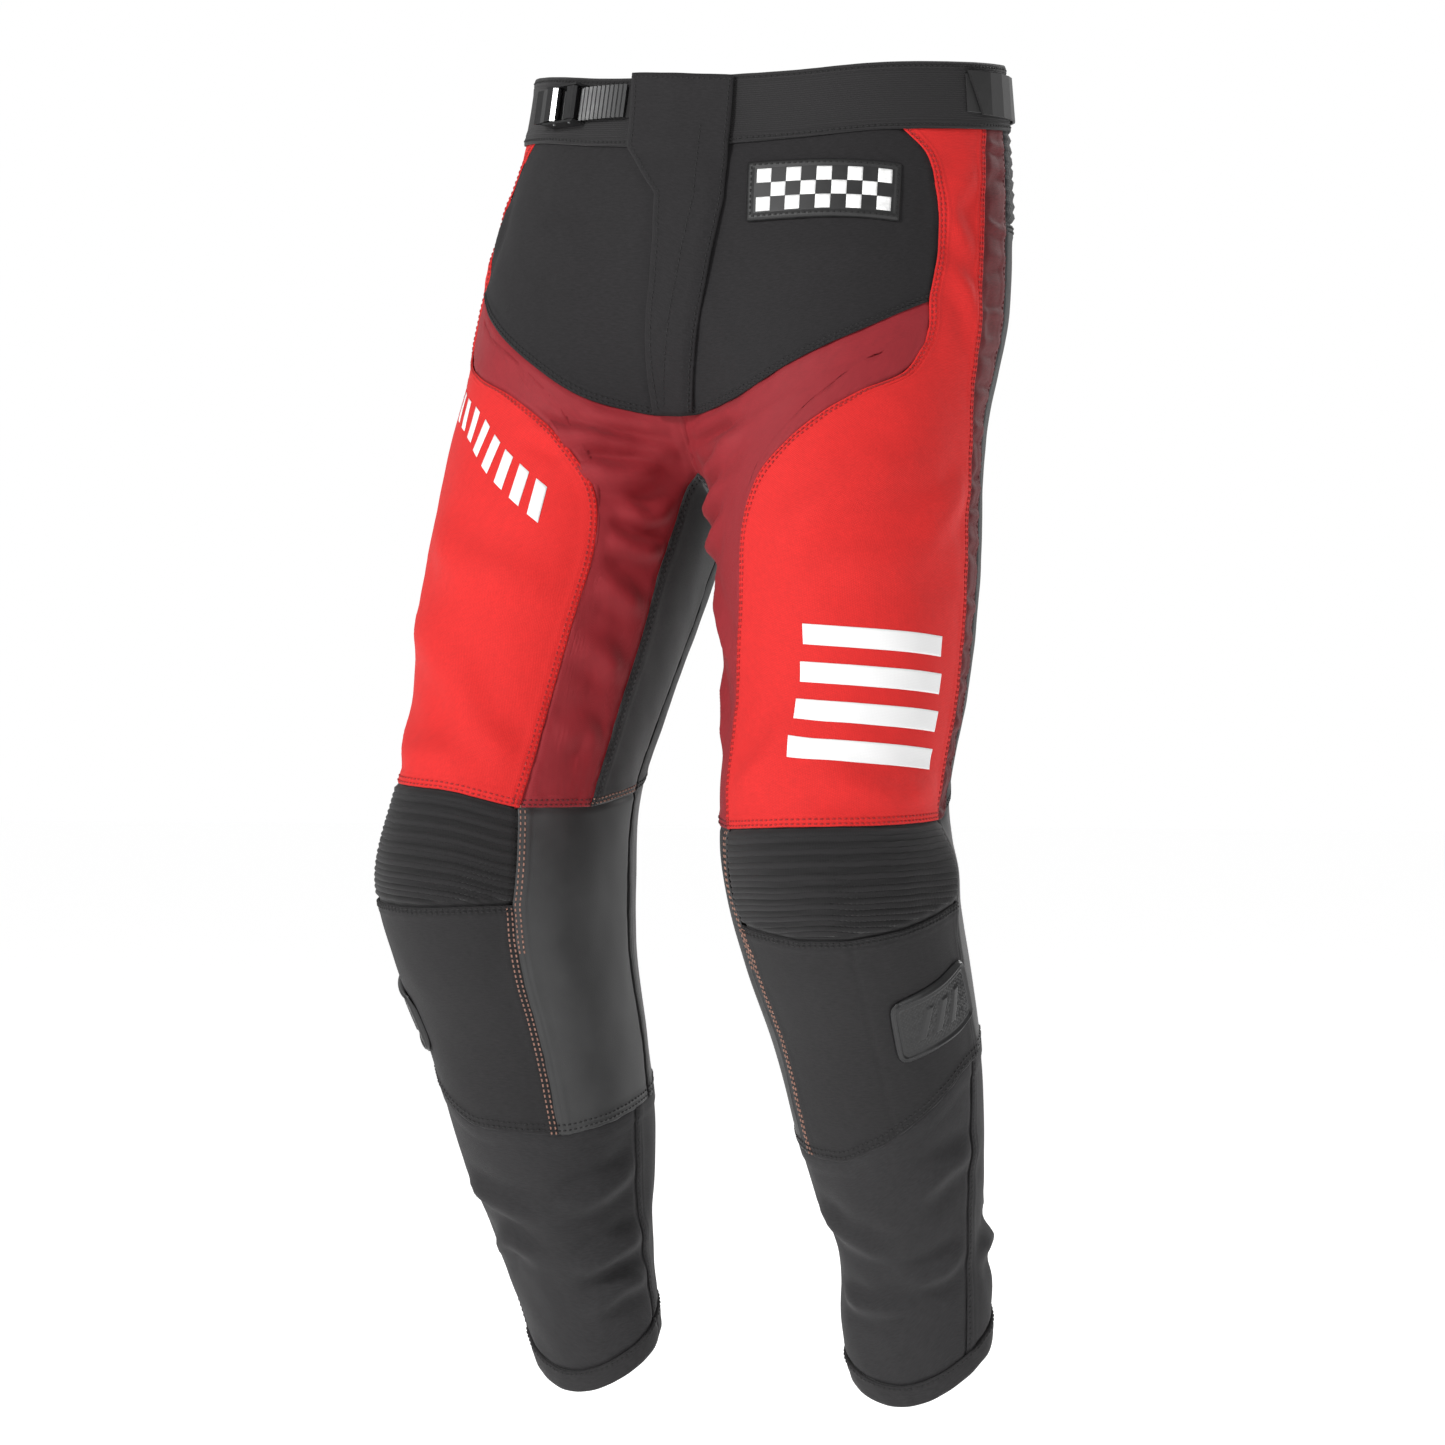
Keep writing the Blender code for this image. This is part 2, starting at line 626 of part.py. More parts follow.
def rear_yoke(seams):
    """Stretch panel across the back, under the waistband."""
    half_top = torso_line(BAND_BOTTOM, STRIPE_REAR_TOP, 180, 8)
    half_low = seams["rear_yoke"]
    flip = np.array([-1.0, 1.0, 1.0])
    top = join(half_top, half_top[::-1] * flip)
    low = join(half_low, half_low[::-1] * flip)
    side = seams["stripe_rear_top"]
    points = with_seam_gap(fill_patch(top, low, side, side * flip))
    panel("rear_yoke", points, RIB_CLOTH, finish("rear_yoke", BLACK, 0.95))


def knee_panels():
    """Rib, cup, hide and back panels round each knee."""
    columns = 10
    rib_rows = 3
    cup_rows = 6
    start = leg_line(KNEE_SEAM, RIB_INNER, RIB_OUTER, columns, KNEE_GAP)
    middle = leg_line(RIB_BOTTOM, RIB_INNER, RIB_OUTER, columns)
    end = leg_line(KNEE_HEM, RIB_INNER, RIB_OUTER, columns)
    rib_left = smooth_line([start[0], middle[0]], rib_rows)
    rib_right = smooth_line([start[-1], middle[-1]], rib_rows)
    both_sides("knee_rib", fill_patch(start, middle, rib_left, rib_right), RIB_CLOTH,
               finish("knee_rib", BLACK, 0.95))
    cup_left = smooth_line(
        [leg_point(RIB_INNER, z) for z in np.linspace(middle[0][2], end[0][2], 5)], cup_rows)
    cup_right = smooth_line(
        [leg_point(RIB_OUTER, z) for z in np.linspace(middle[-1][2], end[-1][2], 5)], cup_rows)
    both_sides("knee_cup", fill_patch(middle, end, cup_left, cup_right), CLOTH,
               finish("knee_cup", CHARCOAL))

    hide_top = leg_line(KNEE_SEAM, INSEAM_REAR, RIB_INNER, 6, KNEE_GAP)
    hide_bottom = leg_line(KNEE_HEM, INSEAM_REAR, RIB_INNER, 6)
    hide_inner = smooth_line([leg_point(INSEAM_REAR, z) for z in
                              np.linspace(hide_top[0][2], hide_bottom[0][2], 6)],
                             rib_rows + cup_rows)
    both_sides("knee_hide", fill_patch(hide_top, hide_bottom, hide_inner, join(rib_left, cup_left)),
               CLOTH, finish("knee_hide", HIDE, 0.5))

    back_top = leg_line(KNEE_SEAM, RIB_OUTER, 360 + INSEAM_REAR, 9, KNEE_GAP)
    back_bottom = leg_line(KNEE_HEM, RIB_OUTER, 360 + INSEAM_REAR, 9)
    both_sides("knee_back",
               fill_patch(back_top, back_bottom, join(rib_right, cup_right), hide_inner),
               CLOTH, finish("knee_back", BLACK, 0.95))


def cuff_height(angle):
    """Height of the cuff's lower edge, which tilts down to the front."""
    return (CUFF_MIDDLE - CUFF_TILT * cos(radians(angle))) * TALL


def lower_legs():
    """Front and back lower-leg panels and the cuffs."""
    inner = -95
    outer_top = 92
    outer_low = 70
    rows = 6

    def bottom_line(start, end, count):
        angles = np.linspace(start, end, 2 * count + 1)
        return smooth_line([leg_point(a, cuff_height(a) + CUFF_HEIGHT) for a in angles], count)

    def seam(top_angle, low_angle):
        top = line_height(KNEE_HEM, top_angle) - HEM_GAP
        low = cuff_height(low_angle) + CUFF_HEIGHT
        shares = np.linspace(0, 1, 6)
        return smooth_line([leg_point(top_angle + (low_angle - top_angle) * s, top + (low - top) * s)
                            for s in shares], rows)

    front_inner = seam(inner, inner)
    outer = seam(outer_top, outer_low)
    front_top = leg_line(KNEE_HEM, inner, outer_top, 10, HEM_GAP)
    front = fill_patch(front_top, bottom_line(inner, outer_low, 10), front_inner, outer)
    both_sides("calf_front", front, CLOTH, finish("calf_front", CHARCOAL))
    back_top = leg_line(KNEE_HEM, outer_top, 360 + inner, 9, HEM_GAP)
    back = fill_patch(back_top, bottom_line(outer_low, 360 + inner, 9), outer, front_inner)
    both_sides("calf_back", back, CLOTH, finish("calf_back", CHARCOAL))

    sides = 24
    material = finish("cuff", BLACK)
    for name, flip in (("cuff_left", 1), ("cuff_right", -1)):
        shape = bmesh.new()
        bmesh.ops.create_cone(shape, cap_ends=False, segments=sides, radius1=1, radius2=1, depth=2)
        for vert in shape.verts:
            angle = degrees(atan2(vert.co.x * flip, -vert.co.y))
            rise = CUFF_HEIGHT - SEAM_GAP if vert.co.z > 0 else 0.0
            point = leg_point(angle, cuff_height(angle) + rise)
            vert.co = (point[0] * flip, point[1], point[2])
        mesh = bpy.data.meshes.new(name)
        shape.to_mesh(mesh)
        shape.free()
        mesh.shade_smooth()
        thicken(keep_object(name, mesh, material), CUFF_CLOTH)


# ---------------------------------------------------------------- waist
def band_piece(name, start, end, columns):
    """One length of the waistband."""
    top = torso_line(BAND_TOP, start, end, columns)
    bottom = torso_line(BAND_BOTTOM, start, end, columns)
    left = smooth_line([top[0], bottom[0]], 2)
    right = smooth_line([top[-1], bottom[-1]], 2)
    points = with_seam_gap(fill_patch(top, bottom, left, right))
    panel(name, points, BAND_CLOTH, finish(name, BLACK, 0.9))


def waistband():
    """Three lengths of ribbed band."""
    opening = 4
    band_piece("waistband_front_left", opening, 100, 9)
    band_piece("waistband_back", 100, 260, 14)
    band_piece("waistband_front_right", -100, -opening, 9)


def flap_edges(z):
    """Free and sewn edge of the fly flap at a height."""
    heights = np.array((-0.256, -0.160, -0.130, -0.097, -0.085, -0.063, -0.010)) * TALL
    free = np.interp(z, heights, (-0.018, -0.012, -0.012, -0.015, -0.026, -0.044, -0.047))
    heights = np.array((-0.256, -0.174, -0.102, -0.022)) * TALL
    sewn = np.interp(z, heights, (0.015, 0.029, 0.038, 0.034))
    return free, sewn


def fly_flap():
    """Cover over the zip, from the top of the waistband down."""
    columns = 5
    rows = 12
    top = line_height(BAND_TOP, 0) - 0.002
    heights = np.linspace(top, FRONT_YOKE_END * TALL + 0.003, rows + 1)
    points = np.empty((rows + 1, columns + 1, 3))
    for row, z in enumerate(heights):
        free, sewn = flap_edges(z)
        for column in range(columns + 1):
            x = free + (sewn - free) * column / columns
            lift = FLAP_LIFT
            if column == columns and z < line_height(BAND_BOTTOM, 0) - 0.008:
                lift = FLAP_LIFT * 0.65
            points[row, column] = onto_body(front_point(x, z), lift)
    panel("fly_flap", points, FLAP_CLOTH, finish("fly_flap", BLACK))
    fold = (points[0, -1] + points[-1, -1]) / 2
    fold[0] += FLAP_FOLD_SHIFT
    hang("flap_fold_axis", fold, ["fly_flap"])


def zip_circle():
    """Centre and radius of the arc that the zip follows over the belly."""
    heights = (ZIP_TOP * TALL, (ZIP_TOP + ZIP_END) / 2 * TALL, ZIP_END * TALL)
    places = [front_point(0.0, z)[1:] for z in heights]
    centre = circle_through(*places)
    return centre, np.linalg.norm(places[0] - centre), places


def zip_parts():
    """Facing, tape, chain, slider and pull, all bent to one arc."""
    centre, radius, places = zip_circle()
    turn_top = atan2(places[0][1] - centre[1], centre[0] - places[0][0])
    turn_end = atan2(places[2][1] - centre[1], centre[0] - places[2][0])

    def arc_strip(name, half_width, inset, rows, thickness, material, start=0.0, narrow=1.0):
        turns = np.linspace(turn_top + start, turn_end, rows + 1)
        points = np.empty((rows + 1, 3, 3))
        for row, turn in enumerate(turns):
            share = narrow if row % 2 else 1.0
            for column in range(3):
                reach = radius + inset
                x = (column - 1) * half_width * share
                points[row, column] = (x, centre[0] - reach * cos(turn), centre[1] + reach * sin(turn))
        return panel(name, points, thickness, material)

    arc_strip("fly_underlap", 0.030, -0.0058, 10, 0.0010, finish("fly_underlap", BLACK))
    arc_strip("zip_tape", 0.013, -0.0036, 10, 0.0008, finish("zip_tape", BLACK, 0.9))
    teeth = int(round(radius * abs(turn_top - turn_end) / CHAIN_PITCH)) * 2
    chain_base = -0.0024
    chain_height = 0.0018
    arc_strip("zip_chain", CHAIN_WIDTH / 2, chain_base, teeth, chain_height,
              finish("zip_chain", MOULDED, 0.5), 0.0, 0.72)

    turn = turn_top - (SLIDER_LENGTH / 2 + 0.001) / radius
    spot = radius + chain_base
    place = Vector((0.0, centre[0] - spot * cos(turn), centre[1] + spot * sin(turn)))
    out = Vector((0.0, -cos(turn), sin(turn)))
    across = Vector((1.0, 0.0, 0.0))
    along = out.cross(across)
    frame = Matrix((across, out, along)).transposed().to_4x4()
    frame.translation = place
    half = SLIDER_WIDTH / 2
    inner = CHAIN_WIDTH / 2 + FIT
    low = FIT
    roof = chain_height + 0.0004
    top = roof + 0.0010
    profile = [(-half, low), (-inner, low), (-inner, roof), (inner, roof), (inner, low),
               (half, low), (half, top), (-half, top)]
    black = finish("zip_slider", MOULDED, 0.35)
    outline_solid("zip_slider", [profile], SLIDER_LENGTH, frame, black)
    pull_top = SLIDER_LENGTH / 2 - 0.002
    tab = [(-PULL_WIDTH / 2, pull_top), (PULL_WIDTH / 2, pull_top),
           (PULL_WIDTH / 2 + 0.001, pull_top - PULL_LENGTH),
           (-PULL_WIDTH / 2 - 0.001, pull_top - PULL_LENGTH)]
    hole = circle_outline(0.0, pull_top - PULL_LENGTH + 0.005, 0.0018, 12)
    thickness = 0.0009
    flat = Matrix((across, along, -out)).transposed().to_4x4()
    flat.translation = place + out * (top + FIT + thickness / 2)
    outline_solid("zip_pull", [tab, hole], thickness, flat, black)
    hang("pull_swing_axis", flat @ Vector((0.0, pull_top, 0.0)), ["zip_pull"])
    hang("zip_run_axis", (0.0, centre[0], centre[1]), ["zip_slider"])


def strap_circle():
    """Frame, radius and height of the arc that the ladder strap follows.

    The frame's Z axis lies flat on the body at both ends of the strap, so the strap turns about it
    without leaving the waistband.
    """
    z = (line_height(BAND_TOP, 36) + line_height(BAND_BOTTOM, 36)) / 2 + STRAP_RAISE
    places = [torso_point(angle, z) for angle in STRAP_TURNS]
    ends = [body_normals(place)[0] for place in (places[0], places[2])]
    axis = Vector(np.cross(ends[1], ends[0])).normalized()
    side = Vector((0.0, 1.0, 0.0)).cross(axis).normalized()
    frame = Matrix((side, axis.cross(side), axis)).transposed().to_4x4()
    frame.translation = Vector(places[1])
    into = frame.inverted()
    flat = [np.array((into @ Vector(place)).to_2d()) for place in places]
    centre = circle_through(*flat)
    frame.translation = frame @ Vector((centre[0], centre[1], 0.0))
    return frame, float(np.linalg.norm(flat[0] - centre)), z


def ratchet():
    """Ladder strap, its anchor and the ratchet buckle on the right front."""
    flat, radius, z = strap_circle()
    moulded = finish("ladder_strap", MOULDED, 0.45)
    into = flat.inverted()

    def turn_of(angle):
        point = into @ Vector(torso_point(angle, z))
        return atan2(point.x, -point.y)

    strap_start = turn_of(STRAP_START)
    strap_end = turn_of(STRAP_END)
    count = int(round(abs(strap_end - strap_start) * radius / STRAP_PITCH)) * 2
    turns = np.linspace(strap_end, strap_start, count + 1)
    inside = radius + STRAP_LIFT
    outline = [(inside * sin(t), -inside * cos(t)) for t in turns]
    for step, t in enumerate(turns[::-1]):
        reach = inside + STRAP_THICKNESS + (STRAP_RIB if step % 2 else 0.0)
        outline.append((reach * sin(t), -reach * cos(t)))
    outline_solid("ladder_strap", [outline], STRAP_HEIGHT, flat, moulded)

    anchor_angles = np.linspace(STRAP_START + degrees(FIT / radius) * 3, ANCHOR_END, 5)
    points = np.empty((3, 5, 3))
    for column, angle in enumerate(anchor_angles):
        for row in range(3):
            rise = (1 - row) * (STRAP_HEIGHT / 2 - 0.001)
            points[row, column] = onto_body(torso_point(angle, z + rise), BAND_CLOTH + 0.0012)
    panel("strap_anchor", points, 0.0010, finish("strap_anchor", BLACK, 0.9))

    t = turn_of(BUCKLE_TURN)
    turned = flat.to_3x3()
    out = turned @ Vector((sin(t), -cos(t), 0.0))
    up = turned @ Vector((0.0, 0.0, 1.0))
    rearward = out.cross(up)
    base = Matrix((out.cross(rearward), out, rearward)).transposed().to_4x4()
    sag = BUCKLE_LENGTH**2 / 8 / inside
    base.translation = flat.translation + out * (inside - sag)
    half_in = STRAP_HEIGHT / 2 + 2 * FIT
    half_out = half_in + BUCKLE_WALL
    floor = -FIT
    under = floor - 0.0012
    height = BUCKLE_RISE - under
    dark = finish("ratchet_base", MOULDED, 0.4)
    block = base @ Matrix.Translation((0.0, under + height / 2, 0.0))
    body = solid_box("ratchet_base", (2 * half_out, height, BUCKLE_LENGTH), block, dark)
    trough = base @ Matrix.Translation((0.0, floor + height / 2, 0.0))
    cut_out(body, solid_box("strap_trough", (2 * half_in, height, 2 * BUCKLE_LENGTH), trough, dark))

    pin_height = BUCKLE_RISE - 0.0028
    lever_at = 0.0060
    pawl_at = -0.0110
    steel = finish("lever_pin", STEEL, 0.3, 1.0)
    for name, place in (("lever_pin", lever_at), ("pawl_pin", pawl_at)):
        middle = base @ Matrix.Translation((0.0, pin_height, place)) @ Matrix.Rotation(pi / 2, 4, "Y")
        rod(name, PIN_RADIUS, 2 * half_out + 0.0012, middle, steel)
        cut_out(body, rod(name + "_bore", PIN_RADIUS + 0.0001, 2 * half_out + 0.010, middle, steel))

    side = Matrix((rearward, out, rearward.cross(out))).transposed().to_4x4()
    width = 2 * half_in - 4 * FIT
    bore = PIN_RADIUS + 0.0001
    clear = STRAP_THICKNESS + STRAP_RIB + sag + 0.0012
    side.translation = base @ Vector((0.0, pin_height, lever_at))
    drop = clear - pin_height
    hub = 0.0026
    lever = [(-hub, 0.0), (-0.7 * hub, -0.7 * hub), (0.0, -hub), (0.0050, drop), (0.0150, drop + 0.0002),
             (0.0215, drop + 0.0026), (0.0222, drop + 0.0046), (0.0150, drop + 0.0048),
             (0.0080, 0.0040), (0.0015, 0.0040), (-0.7 * hub, 0.8 * hub)]
    outline_solid("ratchet_lever", [lever, circle_outline(0, 0, bore)], width, side,
                  finish("ratchet_lever", MOULDED, 0.12))
    pawl_frame = side.copy()
    pawl_frame.translation = base @ Vector((0.0, pin_height, pawl_at))
    pawl = [(-0.0052, 0.0008), (-0.0030, -0.0024), (0.0010, drop), (0.0052, drop),
            (0.0060, drop + 0.0014), (0.0042, 0.0026), (0.0, 0.0032), (-0.0040, 0.0034)]
    outline_solid("release_pawl", [pawl, circle_outline(0, 0, bore)], width, pawl_frame, dark)
    hang("strap_run_axis", flat.translation, ["ladder_strap", "strap_anchor"])


def hip_adjuster():
    """Peel-open tab, its landing strip, the ring and the strap behind it, on the left hip."""
    z = (line_height(BAND_TOP, 95) + line_height(BAND_BOTTOM, 95)) / 2

    def strip(name, start, end, height, lift, thickness, columns, material, lean=0.0):
        angles = np.linspace(start, end, columns + 1)
        points = np.empty((3, columns + 1, 3))
        for row in range(3):
            for column, angle in enumerate(angles):
                shift = lean * (1 - row) if column == 0 else 0.0
                place = torso_point(angle + shift, z + (1 - row) * height / 2)
                points[row, column] = onto_body(place, lift)
        return panel(name, points, thickness, material)

    landing = BAND_CLOTH + 0.0008
    strip("hip_loop_strip", 79, 106, TAB_HEIGHT - 0.004, landing, 0.0010, 5,
          finish("hip_loop_strip", BLACK, 1.0))
    tab_lift = landing + 0.0010 + 0.0012
    strip("hip_tab", 81, 111, TAB_HEIGHT, tab_lift, TAB_CLOTH, 6, finish("hip_tab", BLACK, 0.85), -2.0)
    strip("ring_strap", 116, 136, TAB_HEIGHT, landing, TAB_CLOTH, 4, finish("ring_strap", BLACK, 0.85))
    hang("tab_peel_axis", onto_body(torso_point(TAB_FOLD, z), tab_lift), ["hip_tab"])
    curve = bpy.data.curves.new("hip_ring", "CURVE")
    curve.dimensions = "3D"
    curve.bevel_depth = RING_WIRE
    curve.bevel_resolution = 1
    curve.resolution_u = 1
    spline = curve.splines.new("POLY")
    half = TAB_HEIGHT / 2 + 2 * RING_WIRE
    ring = [(112.2, half), (115.0, half), (115.0, -half), (112.2, -half)]
    spline.points.add(len(ring) - 1)
    for point, (angle, rise) in zip(spline.points, ring):
        place = onto_body(torso_point(angle, z), tab_lift)
        point.co = (place[0], place[1], z + rise, 1.0)
    spline.use_cyclic_u = True
    keep_object("hip_ring", curve, finish("hip_ring", MOULDED, 0.3))


# ---------------------------------------------------------------- badges
def chequer_patch():
    """Moulded rubber patch on the left front yoke."""
    z = -0.096 * TALL
    angles = np.linspace(0, 90, 91)
    line = np.array([torso_point(angle, z) for angle in angles])
    run = np.concatenate([[0], np.cumsum(np.linalg.norm(np.diff(line, axis=0), axis=1))])
    sewn = np.interp(flap_edges(z)[1], line[:, 0], run)
    turn = np.interp(sewn + PATCH_GAP + PATCH_WIDTH / 2, run, angles)
    middle = torso_point(turn, z)
    columns = 7
    points = np.empty((3, columns + 1, 3))
    tangent = torso_point(turn + 2.5, z) - torso_point(turn - 2.5, z)
    tangent = tangent / np.linalg.norm(tangent)
    for row in range(3):
        for column in range(columns + 1):
            guess = middle + tangent * (column / columns - 0.5) * PATCH_WIDTH
            guess[2] += (1 - row) * PATCH_HEIGHT / 2
            points[row, column] = onto_body(guess, CLOTH + 0.0014)
    panel("chequer_patch", points, PATCH_THICKNESS, finish("chequer_patch", MOULDED, 0.6))


def knee_badges():
    """Moulded badges on the outer side of each knee cup."""
    middle = leg_point(64, -0.683 * TALL)
    normal = body_normals(middle)[0]
    level = np.cross([0.0, 0.0, 1.0], normal)
    level = level / np.linalg.norm(level)
    upward = np.cross(normal, level)
    tilt = radians(29)
    long_way = level * cos(tilt) + upward * sin(tilt)
    short_way = -level * sin(tilt) + upward * cos(tilt)
    columns = 7
    rows = 4
    rounding = 0.12
    points = np.empty((rows + 1, columns + 1, 3))
    for row in range(rows + 1):
        for column in range(columns + 1):
            u = 2 * column / columns - 1
            v = 1 - 2 * row / rows
            x = u * (1 - rounding * v * v) * BADGE_LENGTH / 2
            y = v * (1 - rounding * u * u) * BADGE_WIDTH / 2
            points[row, column] = middle + long_way * x + short_way * y
    points = onto_body(points, CLOTH + 0.0014)
    material = finish("knee_badge", MOULDED, 0.25)
    panel("knee_badge_left", points, BADGE_THICKNESS, material)
    panel("knee_badge_right", mirrored(points), BADGE_THICKNESS, material)


def knee_axes():
    """The empties that everything below each knee seam turns about."""
    x, y, z = KNEE_HINGE
    for side, flip in (("left", 1), ("right", -1)):
        hang(side + "_knee_axis", (flip * x * WIDE, y * WIDE, z * TALL),
             [name + "_" + side for name in SHIN_PIECES])


def build():
    """Make every piece."""
    seams = shared_seams()
    yoke_side = front_yokes(seams)
    thigh_panels(seams, yoke_side)
    rear_yoke(seams)
    knee_panels()
    lower_legs()
    waistband()
    fly_flap()
    zip_parts()
    ratchet()
    hip_adjuster()
    chequer_patch()
    knee_badges()
    knee_axes()


build()
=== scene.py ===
"""Off-road riding pants, filled out as if worn.

Sewn cloth, printed marks, badges and waist hardware.

Frame: +X is the wearer's left, -Y the wearer's front, +Z up, in metres. The origin is in the
waist opening.
Angles are in degrees from straight ahead, growing towards the wearer's outer side.
"""

from math import atan2, cos, degrees, pi, radians, sin

import bmesh
import bpy
import numpy as np
from mathutils import Matrix, Vector


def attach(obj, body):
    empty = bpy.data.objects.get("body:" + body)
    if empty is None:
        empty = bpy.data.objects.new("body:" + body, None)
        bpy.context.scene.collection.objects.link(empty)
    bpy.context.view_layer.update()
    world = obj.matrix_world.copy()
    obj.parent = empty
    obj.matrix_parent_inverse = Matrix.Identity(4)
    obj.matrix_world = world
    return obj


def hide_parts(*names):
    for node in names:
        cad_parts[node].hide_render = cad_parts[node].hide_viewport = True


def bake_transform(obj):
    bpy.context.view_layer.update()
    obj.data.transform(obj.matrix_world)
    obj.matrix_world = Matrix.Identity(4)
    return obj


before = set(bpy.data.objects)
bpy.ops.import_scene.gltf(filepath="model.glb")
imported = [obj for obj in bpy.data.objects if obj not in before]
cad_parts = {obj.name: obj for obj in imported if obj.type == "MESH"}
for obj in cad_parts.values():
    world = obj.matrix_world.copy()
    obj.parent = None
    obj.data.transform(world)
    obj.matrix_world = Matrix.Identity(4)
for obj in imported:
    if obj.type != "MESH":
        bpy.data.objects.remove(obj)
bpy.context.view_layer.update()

# ---------------------------------------------------------------- sizes
CLOTH = 0.0016
RIB_CLOTH = 0.0024
BAND_CLOTH = 0.0022
BAND_LAP = 0.0040               # panels run this far up under the waistband
PRINT_CLOTH = 0.00025           # thickness of the screen print
PRINT_LIFT = CLOTH + 0.00012
MIRROR = np.array([-1.0, 1.0, 1.0])
FOLD_SCALE = 2.0                # depth of the worn folds
STRIPE_TOP = (86, 95)           # front and rear edge of the side stripe at the waistband, degrees
STRIPE_END = (94, 107)          # front and rear edge of the side stripe at the knee, degrees
STRIPE_CELL = 0.0030
YOKE_TOP = 62                   # side corner of the front yoke at the waistband, degrees
HEM_ROWS = (0.0040, 0.0085)     # stitch rows above the knee's lower hem
CUP_ROWS = (0.0015, 0.0042)     # stitch rows along the top of the knee cup
FLAP_ROWS = (("left", 0.0045, 0.01, 0.985), ("right", 0.0030, 0.02, 0.99),
             ("right", 0.0230, 0.16, 0.97), ("top", 0.0035, 0.03, 0.97))
PATCH_WIDTH = 0.112
PATCH_HEIGHT = 0.044
PATCH_SEAM = 0.0022             # stitches inside the patch's edge
SQUARE = 0.0110
SQUARE_GAP = 0.0001
CAMERA_PLACE = (2.582, -4.926, -0.478)
CAMERA_TURN = 28.0
LENS = 187.7
FLOOR_HEIGHT = -1.02
LIGHT_TARGET = (0.0, -0.07, -0.45)
LIGHTS = (("key_light", (-1.0, -3.6, 1.5), 0.9, 120.0),
          ("fill_light", (3.9, -2.6, 0.2), 1.6, 22.0),
          ("back_light", (0.6, 3.6, 1.6), 2.0, 60.0))
FLAP_CLOTH = 0.0020
FLAP_LIFT = 0.0060             # inside face of the flap above the body
CELL = 0.0036                  # size of a cloth grid's cells
TUCK = 0.0030                  # how far a panel runs on under its neighbour
SEAM_STEPS = (0.0, 0.0010, 0.0020, 0.0030, 0.0043, 0.0056, 0.0068, 0.0085, 0.0110)
STITCH_ROWS = (0.0020, 0.0056)  # distances of the two stitch rows from an edge
STITCH_PITCH = 0.0042
STITCH_LENGTH = 0.0027
STITCH_RADIUS = 0.00052
TURNOUT = 15.0

# height, centre x, centre y, half width, depth to the front, depth to the back
LEG_STATIONS = np.array([
    (0.02, 0.080, 0.004, 0.080, 0.085, 0.090),
    (-0.06, 0.086, -0.004, 0.088, 0.092, 0.100),
    (-0.14, 0.092, -0.030, 0.096, 0.104, 0.112),
    (-0.22, 0.098, -0.054, 0.098, 0.112, 0.122),
    (-0.30, 0.105, -0.078, 0.097, 0.116, 0.124),
    (-0.38, 0.116, -0.096, 0.092, 0.118, 0.118),
    (-0.46, 0.126, -0.118, 0.084, 0.108, 0.108),
    (-0.53, 0.131, -0.146, 0.079, 0.102, 0.102),
    (-0.59, 0.137, -0.148, 0.080, 0.106, 0.106),
    (-0.65, 0.141, -0.130, 0.077, 0.094, 0.100),
    (-0.71, 0.141, -0.098, 0.072, 0.084, 0.090),
    (-0.77, 0.140, -0.076, 0.066, 0.078, 0.084),
    (-0.83, 0.140, -0.058, 0.059, 0.062, 0.070),
    (-0.89, 0.138, -0.034, 0.054, 0.048, 0.054),
    (-0.95, 0.135, -0.012, 0.050, 0.042, 0.044),
    (-1.00, 0.132, 0.004, 0.048, 0.042, 0.042),
])
# height, centre y, half width, depth to the front, depth to the back
TORSO_STATIONS = np.array([
    (0.04, 0.006, 0.175, 0.112, 0.112),
    (-0.04, 0.000, 0.181, 0.120, 0.120),
    (-0.10, -0.014, 0.190, 0.126, 0.134),
    (-0.16, -0.030, 0.194, 0.122, 0.148),
    (-0.22, -0.046, 0.192, 0.110, 0.150),
    (-0.30, -0.055, 0.182, 0.100, 0.130),
])
CROTCH_START = -0.18
CROTCH_DEPTH = 0.125
TORSO_BLEND = 0.030
LEG_BLEND = 0.018

# ---------------------------------------------------------------- seam lines, by angle and height
BAND_TOP = ((0, -0.012), (36, -0.009), (60, -0.003), (100, 0.001), (180, 0.000))
BAND_BOTTOM = ((0, -0.063), (36, -0.058), (57, -0.052), (100, -0.046), (180, -0.046))
KNEE_SEAM = {
    "left": ((-180, -0.505), (-115, -0.530), (-74, -0.546), (-31, -0.553), (10, -0.551),
             (45, -0.550), (98, -0.546), (140, -0.520), (180, -0.505)),
    "right": ((-180, -0.500), (-115, -0.527), (-74, -0.538), (-31, -0.539), (0, -0.526),
              (45, -0.519), (98, -0.524), (140, -0.512), (180, -0.500)),
}
RIB_BOTTOM = {
    "left": ((-31, -0.621), (5, -0.631), (26, -0.631), (50, -0.624), (98, -0.605)),
    "right": ((-31, -0.609), (10, -0.611), (50, -0.606), (98, -0.601)),
}
KNEE_HEM = {
    "left": ((-180, -0.712), (-115, -0.752), (-57, -0.779), (-19, -0.789), (0, -0.791),
             (24, -0.777), (47, -0.756), (78, -0.725), (122, -0.702), (180, -0.712)),
    "right": ((-180, -0.722), (-116, -0.753), (-66, -0.771), (-37, -0.778), (-8, -0.776),
              (17, -0.771), (45, -0.745), (78, -0.722), (122, -0.704), (180, -0.722)),
}
YOKE_CORNER = {"left": (70, -0.176), "right": (69, -0.163)}
YOKE_LOW = {
    "left": ((11, -0.2555), (20, -0.2520), (30, -0.2430), (43, -0.2190), (57, -0.1960)),
    "right": ((11, -0.2555), (20, -0.2520), (30, -0.2420), (43, -0.2150), (57, -0.1860)),
}
YOKE_SIDE = {
    "left": ((69, -0.070), (71, -0.096), (71.5, -0.135)),
    "right": ((69, -0.070), (72, -0.094), (71, -0.128)),
}
